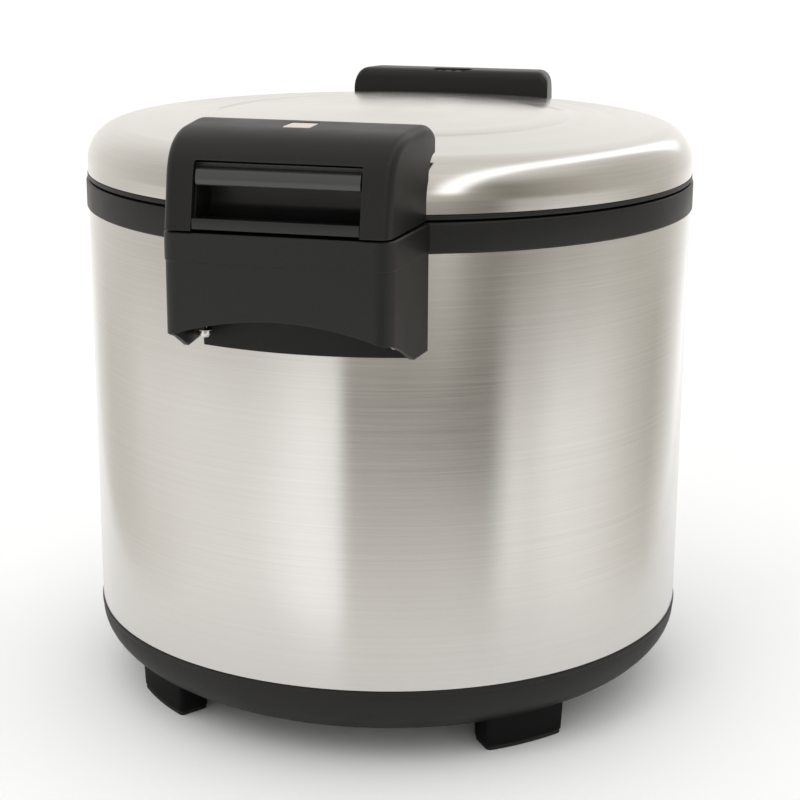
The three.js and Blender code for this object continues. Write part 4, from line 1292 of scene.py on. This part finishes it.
def ring_colour(tree, place, levels):
    """Colour by azimuth, where place runs from 0 to 1 round the horizon."""
    made = tree.node("ShaderNodeValToRGB")
    elements = made.color_ramp.elements
    while len(elements) < len(levels):
        elements.new(0.5)
    for element, (angle, level) in zip(elements, levels):
        element.position = (angle + 180) / 360
        element.color = (*studio_colour(level), 1)
    tree.link(place, made.inputs["Fac"])
    return made.outputs["Color"]


def build_world():
    """The studio as the steel mirrors it. The camera itself sees white beyond the table."""
    world = bpy.data.worlds.new("studio")
    world.use_nodes = True
    bpy.context.scene.world = world
    tree = NodeTree(world.node_tree)

    turn = tree.node("ShaderNodeMapping", vector_type="POINT")
    turn.inputs["Rotation"].default_value = (0, 0, radians(90 - CAMERA_AZIMUTH))
    tree.link(tree.node("ShaderNodeTexCoord").outputs["Generated"], turn.inputs["Vector"])
    split = tree.node("ShaderNodeSeparateXYZ")
    tree.link(turn.outputs["Vector"], split.inputs[0])
    towards_camera, right, up = (split.outputs[axis] for axis in "XYZ")
    place = tree.spread(tree.maths("ARCTAN2", right, towards_camera), -pi, pi)

    level_ring, lower_ring, upper_ring = (
        ring_colour(tree, place, levels) for levels in (STUDIO_RING, STUDIO_LOWER_RING, STUDIO_UPPER_RING)
    )
    walls = tree.mix(tree.spread(up, -0.26, -0.40), level_ring, lower_ring)
    walls = tree.mix(tree.spread(up, -0.19, -0.13), walls, upper_ring)
    room = tree.mix(tree.spread(up, 0.5, 0.85), walls, studio_colour(STUDIO_CEILING))

    # A long strip light hangs on the right, a little out of line with the camera.
    aside = tree.maths("ADD", right, tree.spread(towards_camera, -0.3, 1.0, -0.036, 0.12))
    across = tree.maths("MULTIPLY", tree.spread(aside, 0.34, 0.42), tree.spread(aside, 0.56, 0.50))
    strip = tree.maths("MULTIPLY", across, tree.spread(up, 0.12, 0.30))
    lit = tree.mix(strip, room, studio_colour(STRIP_LIGHT))

    # Dull surfaces are lit by an even white room, which keeps the table pale out to its far end.
    path = tree.node("ShaderNodeLightPath")
    dull = tree.mix(path.outputs["Is Diffuse Ray"], lit, EVEN_ROOM)
    seen = tree.mix(path.outputs["Is Camera Ray"], dull, (1, 1, 1))
    tree.link(seen, world.node_tree.nodes["Background"].inputs["Color"])


KEY_AZIMUTH, KEY_ELEVATION = radians(-38), radians(42)
KEY_DISTANCE, KEY_SIZE = 1900, 900
KEY_WATTS = 4


def build_key_light():
    """A soft square light aimed at the middle of the cooker, which the steel doesn't mirror."""
    data = bpy.data.lights.new("key", "AREA")
    data.shape = "RECTANGLE"
    data.size = data.size_y = KEY_SIZE * MM
    data.energy = KEY_WATTS
    light = bpy.data.objects.new("key", data)
    turn = radians(CAMERA_AZIMUTH) + KEY_AZIMUTH
    level = cos(KEY_ELEVATION)
    away = Vector((sin(turn) * level, -cos(turn) * level, sin(KEY_ELEVATION)))
    light.location = (Vector((0, 0, 200)) + away * KEY_DISTANCE) * MM
    light.rotation_euler = away.to_track_quat("Z", "Y").to_euler()
    light.visible_camera = False
    light.visible_glossy = False
    bpy.context.scene.collection.objects.link(light)


# ---- all of it

bpy.context.scene.view_settings.view_transform = "Standard"
build_camera()
build_floor()
build_world()
build_key_light()
build_base()
build_feet()
build_drum()
build_top_ring()
build_liner()
build_hot_plate()
build_sensor_cup()
build_pot()
build_lid_shell()
build_lid_frame()
build_inner_plate()
build_seal()
build_plate_knob()
build_latch_box()
build_tray()
build_latch()
build_hinge_box()
build_front_handle()
build_rear_handle()
build_back_plates()
build_handle_screws()
build_panel()
build_panel_marks()
build_lever()
build_lamps()
build_inlet_plate()
dress_frame()
